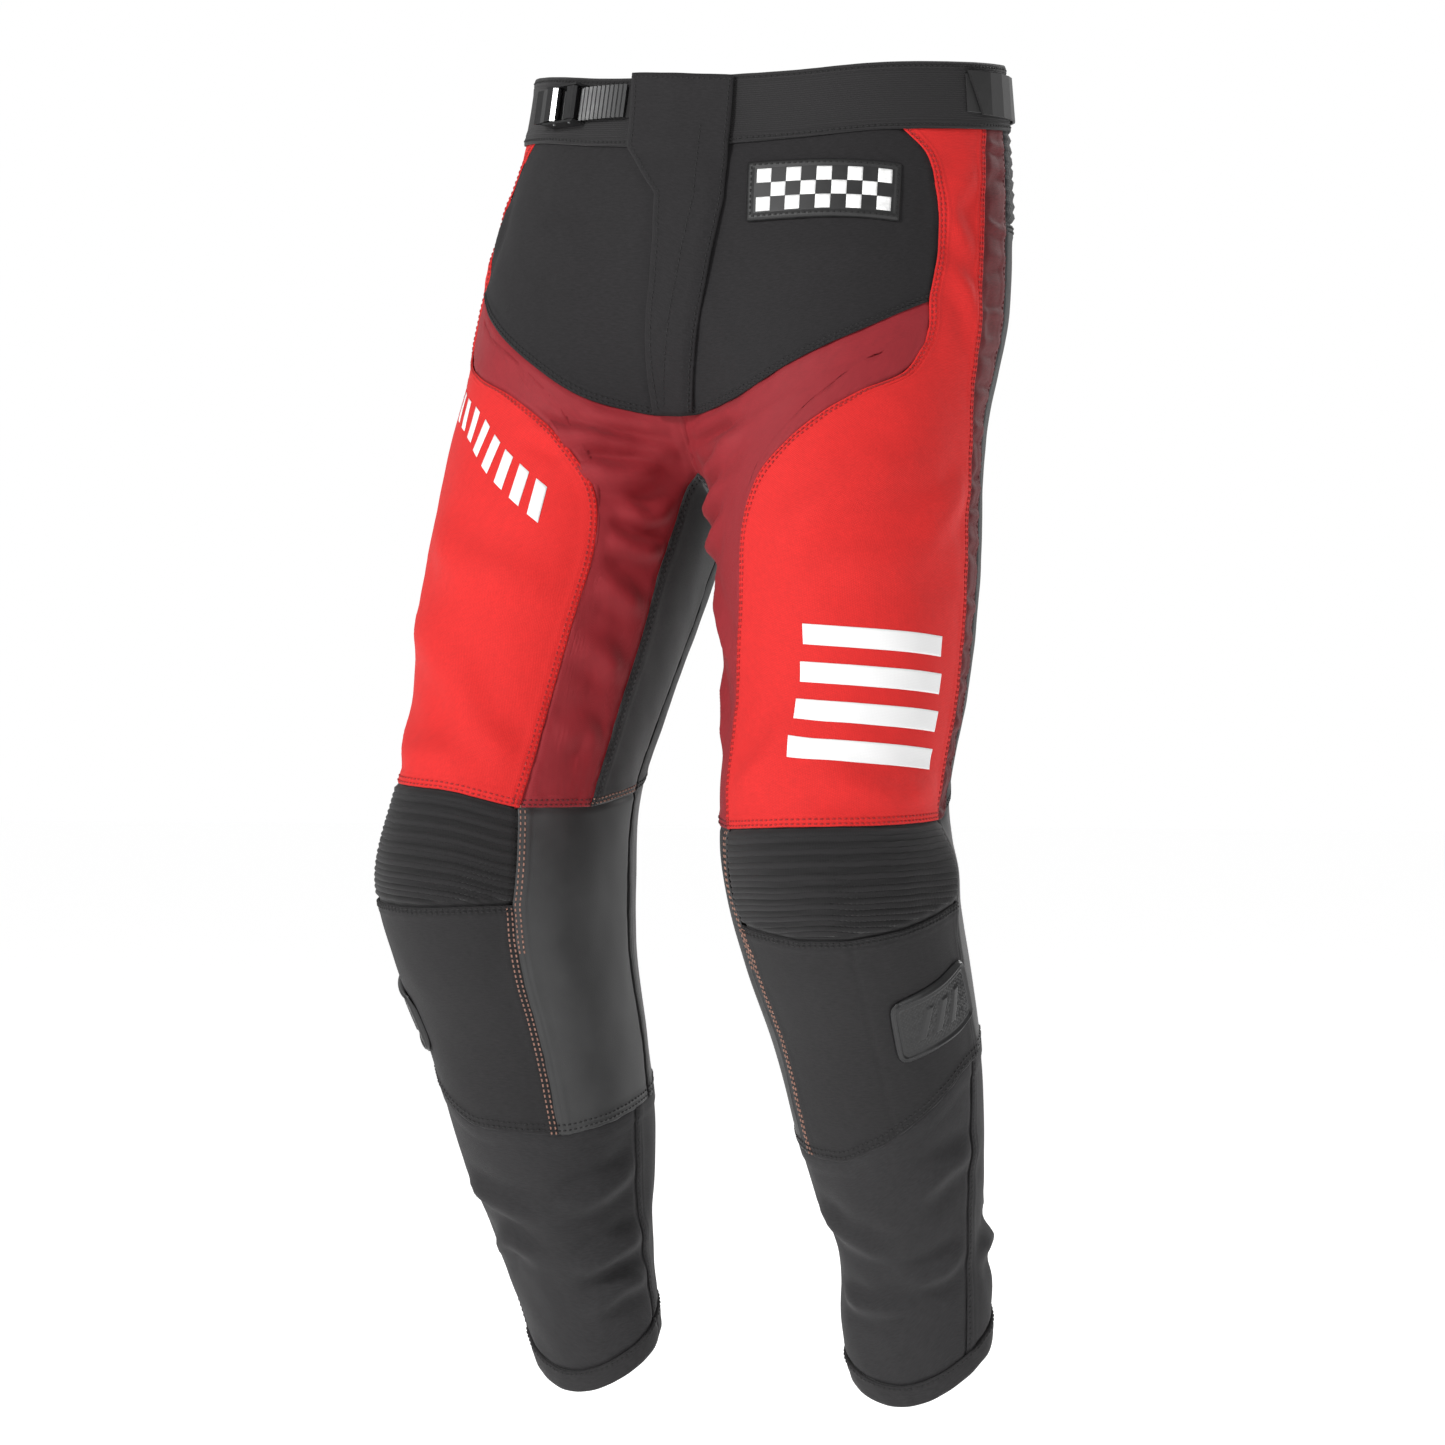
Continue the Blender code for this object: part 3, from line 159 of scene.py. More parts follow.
RED_INNER = {
    "left": (("torso", 66, -0.227), ("torso", 54, -0.246), ("torso", 43, -0.271),
             ("leg", -8, -0.310), ("leg", -14, -0.340), ("leg", -18, -0.391),
             ("leg", -26, -0.450), ("leg", -30, -0.500)),
    "right": (("torso", 67, -0.214), ("torso", 55, -0.229), ("torso", 42, -0.246),
              ("leg", -18, -0.281), ("leg", -32, -0.314), ("leg", -36, -0.345),
              ("leg", -35, -0.400), ("leg", -34, -0.470)),
}
RIB_INNER = {"left": -31, "right": -32}
RIB_OUTER = 98
INSEAM_FRONT = -74
INSEAM_REAR = -115
HIP_LEVEL = -0.206
FRONT_YOKE_END = -0.256
REAR_YOKE = -0.115
KEEL_PIVOT = (0.0, -0.045, -0.200)
KEEL_FRONT = 57
KEEL_REAR = 118
CUFF_MIDDLE = -0.937
CUFF_TILT = 0.036
CUFF_HEIGHT = 0.014


# ---------------------------------------------------------------- the worn body as a field
def with_slopes(stations):
    """Heights, values and slopes of a station table, lowest first."""
    rows = stations[::-1]
    return rows[:, 0], rows[:, 1:], np.gradient(rows[:, 1:], rows[:, 0], axis=0)


LEG_TABLE = with_slopes(LEG_STATIONS)
TORSO_TABLE = with_slopes(TORSO_STATIONS)


def station_values(z, table):
    """Smooth values between a table's rows at each height."""
    heights, values, slopes = table
    z = np.clip(z, heights[0], heights[-1])
    low = np.clip(np.searchsorted(heights, z, side="right") - 1, 0, len(heights) - 2)
    step = (heights[low + 1] - heights[low])[..., None]
    s = (z - heights[low])[..., None] / step
    start = (2 * s**3 - 3 * s**2 + 1) * values[low] + (s**3 - 2 * s**2 + s) * step * slopes[low]
    end = (3 * s**2 - 2 * s**3) * values[low + 1] + (s**3 - s**2) * step * slopes[low + 1]
    return start + end


def soft_min(a, b, width):
    """The smaller of two fields, rounded where they meet."""
    mix = np.clip(0.5 + 0.5 * (b - a) / width, 0.0, 1.0)
    return b * (1 - mix) + a * mix - width * mix * (1 - mix)


def leg_field(x, y, z):
    """Signed size of the left leg's tube."""
    c = station_values(z, LEG_TABLE)
    turn = radians(TURNOUT)
    across = cos(turn) * (x - c[..., 0]) + sin(turn) * (y - c[..., 1])
    along = -sin(turn) * (x - c[..., 0]) + cos(turn) * (y - c[..., 1])
    depth = np.where(along < 0, c[..., 3], c[..., 4])
    return (np.sqrt((across / c[..., 2])**2 + (along / depth)**2) - 1) * c[..., 2]


def torso_field(x, y, z):
    """Signed size of the torso, rounded off at the crotch."""
    c = station_values(z, TORSO_TABLE)
    along = y - c[..., 0]
    depth = np.where(along < 0, c[..., 2], c[..., 3])
    below = np.maximum(CROTCH_START - z, 0) / CROTCH_DEPTH
    return (np.sqrt((x / c[..., 1])**2 + (along / depth)**2 + below**2) - 1) * c[..., 2]


def body_field(points):
    """Signed field of the whole worn shape."""
    x = points[..., 0]
    y = points[..., 1]
    z = points[..., 2]
    legs = soft_min(leg_field(x, y, z), leg_field(-x, y, z), LEG_BLEND)
    return soft_min(legs, torso_field(x, y, z), TORSO_BLEND)


def body_normals(points):
    """Outward directions of the field and its slopes."""
    step = 1e-4
    slopes = np.empty(points.shape)
    for axis in range(3):
        shift = np.zeros(3)
        shift[axis] = step
        slopes[..., axis] = (body_field(points + shift) - body_field(points - shift)) / (2 * step)
    size = np.linalg.norm(slopes, axis=-1, keepdims=True)
    return slopes / size, size[..., 0]


def onto_body(points, lift=0.0):
    """Slide points along the field's slope to the body, then raise them by lift."""
    points = np.array(points, dtype=float)
    for _ in range(6):
        normals, size = body_normals(points)
        points = points - normals * (body_field(points) / size)[..., None]
    normals, _ = body_normals(points)
    raised = np.broadcast_to(np.asarray(lift, dtype=float), points.shape[:-1])
    return points + normals * raised[..., None]


def cast(origin, direction):
    """The first point of the body's surface along a ray from inside."""
    start = np.asarray(origin)
    toward = np.asarray(direction)
    reach = np.linspace(0.0, 0.35, 150)
    for _ in range(2):
        field = body_field(start + reach[:, None] * toward)
        first = int(np.argmax(field > 0))
        low = reach[first - 1]
        high = reach[first]
        share = field[first - 1] / (field[first - 1] - field[first])
        reach = np.linspace(low, high, 30)
    return start + (low + (high - low) * share) * toward


def line_height(line, angle):
    """Height of a line round the body at an angle."""
    table = np.array(line)
    wrapped = (angle + 180) % 360 - 180
    if table[0, 0] >= 0 and wrapped < 0:
        wrapped = -wrapped
    return float(np.interp(wrapped, table[:, 0], table[:, 1]))


def torso_point(angle, z):
    """A point of the torso by angle and height."""
    centre = station_values(np.array(z), TORSO_TABLE)
    return cast((0.0, centre[0], z), (sin(radians(angle)), -cos(radians(angle)), 0.0))


def leg_point(angle, z):
    """A point of the left leg by angle and height."""
    centre = station_values(np.array(z), LEG_TABLE)
    return cast((centre[0], centre[1], z), (sin(radians(angle)), -cos(radians(angle)), 0.0))


def front_point(x, z):
    """A point of the front by distance from the middle and height."""
    centre = station_values(np.array(z), TORSO_TABLE)
    return cast((x, centre[0], z), (0.0, -1.0, 0.0))


def keel_point(angle):
    """A point of the middle seam, from front (0) through the crotch (90) to the back (180)."""
    return cast(KEEL_PIVOT, (0.0, -cos(radians(angle)), -sin(radians(angle))))


def place(kind, angle, z):
    """A named place on the body."""
    return torso_point(angle, z) if kind == "torso" else leg_point(angle, z)


def smooth_line(points, count):
    """An even curve of count steps through chosen points, laid on the body."""
    points = np.array(points)
    chord = np.concatenate([[0], np.cumsum(np.linalg.norm(np.diff(points, axis=0), axis=1))])
    if len(points) > 2:
        slopes = np.gradient(points, chord, axis=0)
    else:
        slopes = np.repeat((points[1:] - points[:1]) / chord[-1], 2, axis=0)
    t = np.linspace(0, chord[-1], 4 * count + 1)
    low = np.clip(np.searchsorted(chord, t, side="right") - 1, 0, len(points) - 2)
    step = (chord[low + 1] - chord[low])[:, None]
    s = (t - chord[low])[:, None] / step
    fine = (2 * s**3 - 3 * s**2 + 1) * points[low] + (s**3 - 2 * s**2 + s) * step * slopes[low]
    fine = fine + (3 * s**2 - 2 * s**3) * points[low + 1] + (s**3 - s**2) * step * slopes[low + 1]
    fine = onto_body(fine)
    run = np.concatenate([[0], np.cumsum(np.linalg.norm(np.diff(fine, axis=0), axis=1))])
    even = np.linspace(0, run[-1], count + 1)
    return np.stack([np.interp(even, run, fine[:, axis]) for axis in range(3)], axis=1)


def resampled(line, shares):
    """The same line at chosen shares of its length."""
    run = np.concatenate([[0], np.cumsum(np.linalg.norm(np.diff(line, axis=0), axis=1))])
    return np.stack([np.interp(shares * run[-1], run, line[:, axis]) for axis in range(3)], axis=1)


def seam_shares(length, first, last, cell=CELL):
    """Shares of a length for a grid's lines, close together along its sewn edges."""
    close = np.array(SEAM_STEPS)
    if length < 3 * close[-1]:
        return np.linspace(0, 1, max(2, int(round(length / 0.0016))) + 1)
    low = close if first else close[:1]
    high = length - close[::-1] if last else np.array([length])
    count = max(1, int(round((high[0] - low[-1]) / cell)))
    middle = np.linspace(low[-1], high[0], count + 1)[1:-1]
    return np.concatenate([low, middle, high]) / length


def length_of(line):
    """Length of a line of points."""
    return np.linalg.norm(np.diff(line, axis=0), axis=1).sum()


def torso_line(heights, start, end):
    """A line round the torso between two angles."""
    angles = np.linspace(start, end, 12)
    return smooth_line([torso_point(a, line_height(heights, a)) for a in angles], 60)


def under_band(angles, count):
    """The line where panels are sewn under the waistband."""
    places = [torso_point(a, line_height(BAND_BOTTOM, a) + BAND_LAP) for a in angles]
    return smooth_line(places, count)


def leg_line(heights, start, end, drop=0.0):
    """A line round the left leg between two angles."""
    angles = np.linspace(start, end, max(5, int(abs(end - start) / 9) + 1))
    return smooth_line([leg_point(a, line_height(heights, a) - drop) for a in angles], 60)


# ---------------------------------------------------------------- folds of the worn cloth
# side of the body, part, places along the fold as (angle, height), height and half width in mm
FOLDS = (
    ("right", "leg", ((-34, -0.268), (-20, -0.272), (2, -0.262)), 2.4, 7),
    ("right", "torso", ((4, -0.270), (16, -0.262), (30, -0.256)), 2.0, 6),
    ("right", "torso", ((4, -0.282), (18, -0.278), (30, -0.272)), 2.0, 6),
    ("left", "torso", ((4, -0.272), (18, -0.262), (32, -0.252)), 2.2, 6),
    ("left", "torso", ((5, -0.286), (18, -0.280), (28, -0.270)), 2.0, 6),
    ("right", "leg", ((-74, -0.355), (-58, -0.352), (-40, -0.344)), 2.2, 7),
    ("left", "leg", ((-70, -0.352), (-50, -0.350), (-28, -0.332)), 2.0, 7),
    ("left", "leg", ((-72, -0.440), (-58, -0.460), (-40, -0.500)), 1.6, 8),
    ("right", "torso", ((80, -0.080), (70, -0.120), (78, -0.170)), 1.6, 9),
    ("left", "torso", ((84, -0.075), (74, -0.110), (82, -0.150)), 1.6, 9),
    ("left", "torso", ((74, -0.150), (82, -0.180), (86, -0.215)), 1.6, 9),
    ("left", "leg", ((92, -0.300), (70, -0.330), (50, -0.345)), 1.6, 10),
    ("right", "leg", ((-60, -0.290), (-40, -0.300), (-22, -0.292)), 2.6, 8),
    ("right", "leg", ((-72, -0.320), (-56, -0.330), (-42, -0.318)), 2.2, 7),
    ("right", "leg", ((-70, -0.400), (-55, -0.385), (-40, -0.375)), 1.8, 8),
    ("right", "leg", ((-70, -0.450), (-55, -0.430), (-36, -0.420)), 1.6, 9),
    ("right", "leg", ((-72, -0.500), (-58, -0.485), (-40, -0.490)), 1.4, 9),
    ("right", "leg", ((40, -0.330), (10, -0.365), (-25, -0.380)), 2.2, 14),
    ("right", "leg", ((50, -0.400), (20, -0.425), (-10, -0.470)), 1.8, 14),
    ("right", "leg", ((60, -0.470), (25, -0.500), (-15, -0.505)), 1.8, 12),
    ("right", "leg", ((-30, -0.510), (-5, -0.480), (10, -0.440)), 1.4, 11),
    ("left", "leg", ((-60, -0.300), (-40, -0.292), (-14, -0.270)), 2.6, 8),
    ("left", "leg", ((-66, -0.330), (-48, -0.322), (-26, -0.300)), 2.0, 7),
    ("left", "leg", ((-60, -0.380), (-45, -0.400), (-28, -0.440)), 1.6, 9),
    ("left", "leg", ((60, -0.285), (30, -0.310), (0, -0.355)), 2.0, 14),
    ("left", "leg", ((80, -0.340), (50, -0.360), (15, -0.375)), 1.6, 14),
    ("left", "leg", ((90, -0.520), (55, -0.530), (15, -0.515)), 1.6, 11),
    ("left", "leg", ((-25, -0.530), (0, -0.500), (12, -0.460)), 1.4, 11),
    ("right", "leg", ((-100, -0.800), (-60, -0.820), (-20, -0.835)), 3.0, 9),
    ("right", "leg", ((-110, -0.850), (-70, -0.862), (-20, -0.880)), 3.2, 8),
    ("right", "leg", ((-100, -0.885), (-60, -0.893), (-25, -0.915)), 2.6, 7),
    ("right", "leg", ((50, -0.810), (20, -0.830), (-10, -0.838)), 2.4, 9),
    ("right", "leg", ((60, -0.870), (25, -0.860), (-5, -0.872)), 2.2, 8),
    ("left", "leg", ((100, -0.780), (60, -0.795), (30, -0.820)), 2.4, 9),
    ("left", "leg", ((-50, -0.825), (-20, -0.845), (20, -0.860)), 2.4, 9),
    ("left", "leg", ((80, -0.850), (50, -0.872), (20, -0.880)), 2.6, 8),
    ("left", "leg", ((-50, -0.890), (-10, -0.900), (30, -0.895)), 2.2, 7),
    ("left", "leg", ((150, -0.860), (120, -0.850), (90, -0.862)), 2.4, 8),
    ("left", "torso", ((62, -0.130), (48, -0.140), (30, -0.150)), 0.7, 14),
    ("right", "torso", ((62, -0.130), (45, -0.122), (30, -0.135)), 0.7, 14),
    ("left", "torso", ((30, -0.225), (20, -0.200), (14, -0.170)), 0.8, 10),
)


def fold_lines():
    """Each fold as a fine line of points with its height and half width."""
    lines = []
    for side, part, places, height, width in FOLDS:
        points = smooth_line([place(part, a, z) for a, z in places], 24)
        if side == "right":
            points = points * MIRROR
        lines.append((points, height / 1000, width / 1000))
    return lines


FOLD_LINES = fold_lines()


def waves(points, length, seed):
    """Smooth uneven swelling, from -1 to 1, of about the given wavelength."""
    dice = np.random.default_rng(seed)
    total = np.zeros(points.shape[:-1])
    for _ in range(7):
        direction = dice.normal(size=3)
        direction = direction / np.linalg.norm(direction)
        rate = 2 * pi / length * dice.uniform(0.7, 1.4)
        total += np.sin(points @ direction * rate + dice.uniform(0, 2 * pi))
    return total / 4


def fold_relief(points):
    """How far folds and slack raise the cloth at each point."""
    shape = points.shape[:-1]
    flat = points.reshape(-1, 3)
    relief = np.zeros(len(flat))
    for line, height, width in FOLD_LINES:
        low = line.min(axis=0) - 3 * width
        high = line.max(axis=0) + 3 * width
        near = np.nonzero(np.all((flat > low) & (flat < high), axis=1))[0]
        if len(near) == 0:
            continue
        gaps = np.linalg.norm(flat[near, None] - line[None], axis=2)
        nearest = gaps.argmin(axis=1)
        along = nearest / (len(line) - 1)
        taper = np.clip(np.sin(pi * np.clip(along, 0.02, 0.98)) * 1.3, 0, 1)
        x = gaps.min(axis=1) / width
        relief[near] += FOLD_SCALE * height * taper * (np.exp(-x**2) - 0.45 * np.exp(-(x - 1.9)**2))
    return relief.reshape(shape)


# side, part, angle, height, rise in mm, reach in mm
SWELLS = (
    ("right", "leg", 62, -0.505, -8.0, 62),
    ("right", "leg", 62, -0.400, -2.0, 60),
    ("left", "leg", 96, -0.585, 6.0, 26),
    ("left", "leg", 100, -0.548, -3.5, 14),
    ("left", "leg", -60, -0.858, -8.0, 34),
    ("left", "leg", -60, -0.930, 4.0, 30),
)


def body_swell(points):
    """Broad unevenness of the two legs as they are worn."""
    relief = np.zeros(points.shape[:-1])
    for side, part, angle, z, rise, reach in SWELLS:
        middle = place(part, angle, z)
        if side == "right":
            middle = middle * MIRROR
        gap = np.linalg.norm(points - middle, axis=-1)
        relief += rise / 1000 * np.exp(-(gap / (reach / 1000))**2)
    return relief


def cloth_relief(points):
    """Folds with the cloth's own slow unevenness."""
    relief = fold_relief(points)
    calf = np.clip((-points[..., 2] - 0.78) / 0.05, 0, 1)
    relief += waves(points, 0.075, 3) * (0.0007 + 0.0012 * calf)
    relief += waves(points, 0.028, 5) * (0.0002 + 0.0004 * calf)
    return relief


# ---------------------------------------------------------------- grids and meshes
def fill_patch(top, bottom, left, right, fine=(True, True, True, True), cell=CELL, across=None,
               down=None):
    """Points of a four-sided patch between its edge lines, laid on the body.

    fine says whether the top, bottom, left and right edges have close grid lines for their seams.
    """
    if across is None:
        across = seam_shares((length_of(top) + length_of(bottom)) / 2, fine[2], fine[3], cell)
    if down is None:
        down = seam_shares((length_of(left) + length_of(right)) / 2, fine[0], fine[1], cell)
    top = resampled(top, across)
    bottom = resampled(bottom, across)
    left = resampled(left, down)
    right = resampled(right, down)
    s = across[None, :, None]
    t = down[:, None, None]
    across = (1 - t) * top[None] + t * bottom[None]
    down = (1 - s) * left[:, None] + s * right[:, None]
    corners = (1 - t) * ((1 - s) * top[0] + s * top[-1])
    corners = corners + t * ((1 - s) * bottom[0] + s * bottom[-1])
    return onto_body(across + down - corners)


def grid_normals(points):
    """Normals of a grid of points, outwards for columns that run to the wearer's left."""
    across = np.gradient(points, axis=1)
    down = np.gradient(points, axis=0)
    normals = np.cross(across, -down)
    return normals / np.maximum(np.linalg.norm(normals, axis=-1, keepdims=True), 1e-12)


def grid_runs(points):
    """Distances along the rows and along the columns of a grid."""
    across = np.linalg.norm(np.diff(points, axis=1), axis=2)
    down = np.linalg.norm(np.diff(points, axis=0), axis=2)
    run_across = np.concatenate([np.zeros((points.shape[0], 1)), np.cumsum(across, axis=1)], axis=1)
    run_down = np.concatenate([np.zeros((1, points.shape[1])), np.cumsum(down, axis=0)], axis=0)
    return run_across, run_down


def mirrored(points):
    """The same grid on the wearer's right."""
    return points[:, ::-1] * MIRROR


def grid_object(name, points, material, thickness=0.0):
    """A cloth grid as an object, with a UV map in metres and a cloth thickness."""
    rows = points.shape[0] - 1
    columns = points.shape[1] - 1
    shape = bmesh.new()
    bmesh.ops.create_grid(shape, x_segments=columns, y_segments=rows, size=0.5)
    across, down = grid_runs(points)
    layer = shape.loops.layers.uv.new("cloth_metres")
    spots = {}
    for vert in shape.verts:
        column = round((vert.co.x + 0.5) * columns)
        row = round((0.5 - vert.co.y) * rows)
        spots[vert] = (across[row, column], -down[row, column])
        vert.co = Vector(points[row, column])
    for face in shape.faces:
        face.smooth = True
        for loop in face.loops:
            loop[layer].uv = spots[loop.vert]
    mesh = bpy.data.meshes.new(name)
    shape.to_mesh(mesh)
    shape.free()
    made = bpy.data.objects.new(name, mesh)
    bpy.context.scene.collection.objects.link(made)
    mesh.materials.append(material)
    if thickness:
        cloth = made.modifiers.new("thickness", "SOLIDIFY")
        cloth.thickness = thickness
        cloth.offset = 1.0
    return made


class Surface:
    """The outer face of a finished piece, kept for its stitches."""

    def __init__(self, points):
        self.points = points
        self.normals = grid_normals(points)

    def edge_row(self, edge, inset, start=0.0, end=1.0):
        """Points and normals that follow an edge at a distance inside it."""
        points = self.points
        normals = self.normals
        if edge in ("left", "right"):
            points = points.transpose(1, 0, 2)
            normals = normals.transpose(1, 0, 2)
        if edge in ("bottom", "right"):
            points = points[::-1]
            normals = normals[::-1]
        steps = np.linalg.norm(np.diff(points, axis=0), axis=2)
        depth = np.concatenate([np.zeros((1, points.shape[1])), np.cumsum(steps, axis=0)], axis=0)
        line = np.empty((points.shape[1], 3))
        facing = np.empty((points.shape[1], 3))
        for k in range(points.shape[1]):
            for axis in range(3):
                line[k, axis] = np.interp(inset, depth[:, k], points[:, k, axis])
                facing[k, axis] = np.interp(inset, depth[:, k], normals[:, k, axis])
        first = int(start * (len(line) - 1))
        last = int(np.ceil(end * (len(line) - 1))) + 1
        return line[first:last], facing[first:last]


def smooth_step(x, low, high):
    """0 below low, 1 above high, smooth between."""
    t = np.clip((x - low) / (high - low), 0, 1)
    return t * t * (3 - 2 * t)


def declare_sheet(points):
    """Work out a piece's mean width, its length and its flat area; nothing is returned or kept."""
    run_across, run_down = grid_runs(points)
    width = float(run_across[:, -1].mean())
    length = float(run_down[-1].mean())
    corner = points[:-1, :-1]
    first = np.cross(points[1:, :-1] - corner, points[1:, 1:] - corner)
    second = np.cross(points[1:, 1:] - corner, points[:-1, 1:] - corner)
    area = float(np.linalg.norm(first, axis=2).sum() + np.linalg.norm(second, axis=2).sum()) / 2
    if area > width * length:
        length = area / width


def sewn_panel(name, patch, side, material, edges, thickness=CLOTH, own_relief=None, lift=0.0,
               pucker=0.00035, folds=1.0):
    """A panel of cloth: tucked under or lapped over its neighbours, and creased as it is worn.

    edges names how the top, bottom, left and right edges lie: over, under or free.
    """
    across, down = grid_runs(patch)
    depths = (down, down[-1:] - down, across, across[:, -1:] - across)
    height = np.full(patch.shape[:2], lift, dtype=float)
    shift = np.zeros(patch.shape)
    ends = (np.s_[0, :], np.s_[-1, :], np.s_[:, 0], np.s_[:, -1])
    steps = (patch[0] - patch[1], patch[-1] - patch[-2],
             patch[:, 0] - patch[:, 1], patch[:, -1] - patch[:, -2])
    hold = np.ones(patch.shape[:2])
    for kind, depth, end, step in zip(edges, depths, ends, steps):
        if kind == "under":
            drop = 0.0013 + thickness - CLOTH
            height -= drop * (1 - smooth_step(depth, 0.0015, 0.0060))
            size = np.linalg.norm(step, axis=1, keepdims=True)
            shift[end] += step / np.maximum(size, 1e-9) * TUCK
        elif kind == "over":
            height += 0.0007 * (1 - smooth_step(depth, 0.0065, 0.0100))
            height -= 0.0006 * (1 - smooth_step(depth, 0.0, 0.0011))
            for row in STITCH_ROWS:
                height -= 0.0006 * np.exp(-((depth - row) / 0.0010)**2)
        else:
            height -= 0.0003 * (1 - smooth_step(depth, 0.0, 0.004))
        near = np.exp(-(depth / 0.011)**2)
        hold *= 1 - 0.65 * near
        ripple = waves(patch, 0.016, 11 + len(name))
        height += pucker * near * ripple
    points = patch + shift
    if side == "right":
        points = mirrored(points)
        height = height[:, ::-1]
        hold = hold[:, ::-1]
        across = across[:, ::-1]
        down = down[:, ::-1]
    normals, _ = body_normals(points)
    height = height + cloth_relief(points) * hold * folds + body_swell(points)
    if own_relief is not None:
        height = height + own_relief(across, down, points)
    inner = points + normals * height[..., None]
    made = grid_object(name, inner, material, thickness)
    declare_sheet(inner)
    surface = Surface(inner + grid_normals(inner) * thickness)
    return made, surface


def laid_piece(name, patch, material, thickness, lift):
    """A thin piece laid on the creased cloth, in world places."""
    normals, _ = body_normals(patch)
    height = cloth_relief(patch) + body_swell(patch) + lift
    points = patch + normals * height[..., None]
    return grid_object(name, points, material, thickness)


# ---------------------------------------------------------------- stitches
def thread(name, rows, material, pitch=STITCH_PITCH, length=STITCH_LENGTH, radius=STITCH_RADIUS):
    """Rows of stitches as one piece. Each row is a line of points with its outward directions."""
    shape = bmesh.new()
    for line, facing in rows:
        run = np.concatenate([[0], np.cumsum(np.linalg.norm(np.diff(line, axis=0), axis=1))])
        count = max(1, int(run[-1] / pitch))
        for k in range(count):
            spot = (k + 0.5) * run[-1] / count
            ahead = [np.interp(spot + length / 2, run, line[:, axis]) for axis in range(3)]
            behind = [np.interp(spot - length / 2, run, line[:, axis]) for axis in range(3)]
            out = Vector([np.interp(spot, run, facing[:, axis]) for axis in range(3)]).normalized()
            along = (Vector(ahead) - Vector(behind)).normalized()
            out = (out - along * out.dot(along)).normalized()
            middle = (Vector(ahead) + Vector(behind)) / 2 + out * radius * 0.4
            side = along.cross(out)
            made = bmesh.ops.create_cube(shape, size=1.0)["verts"]
            for vert in made:
                end = 1 if vert.co.z > 0 else -1
                top = vert.co.y > 0
                wide = 1.0 if top else 1.6
                reach = 0.62 if top else 1.0
                across = (1 if vert.co.x > 0 else -1) * radius * 0.8 * wide
                rise = radius * 0.7 if top else -radius
                vert.co = middle + side * across + out * rise + along * end * length / 2 * reach
    for face in shape.faces:
        face.smooth = True
    mesh = bpy.data.meshes.new(name)
    shape.to_mesh(mesh)
    shape.free()
    made = bpy.data.objects.new(name, mesh)
    bpy.context.scene.collection.objects.link(made)
    mesh.materials.append(material)
    return made


# ---------------------------------------------------------------- finishes
def colour(red, green, blue):
    """A colour with full cover."""
    return (red, green, blue, 1.0)


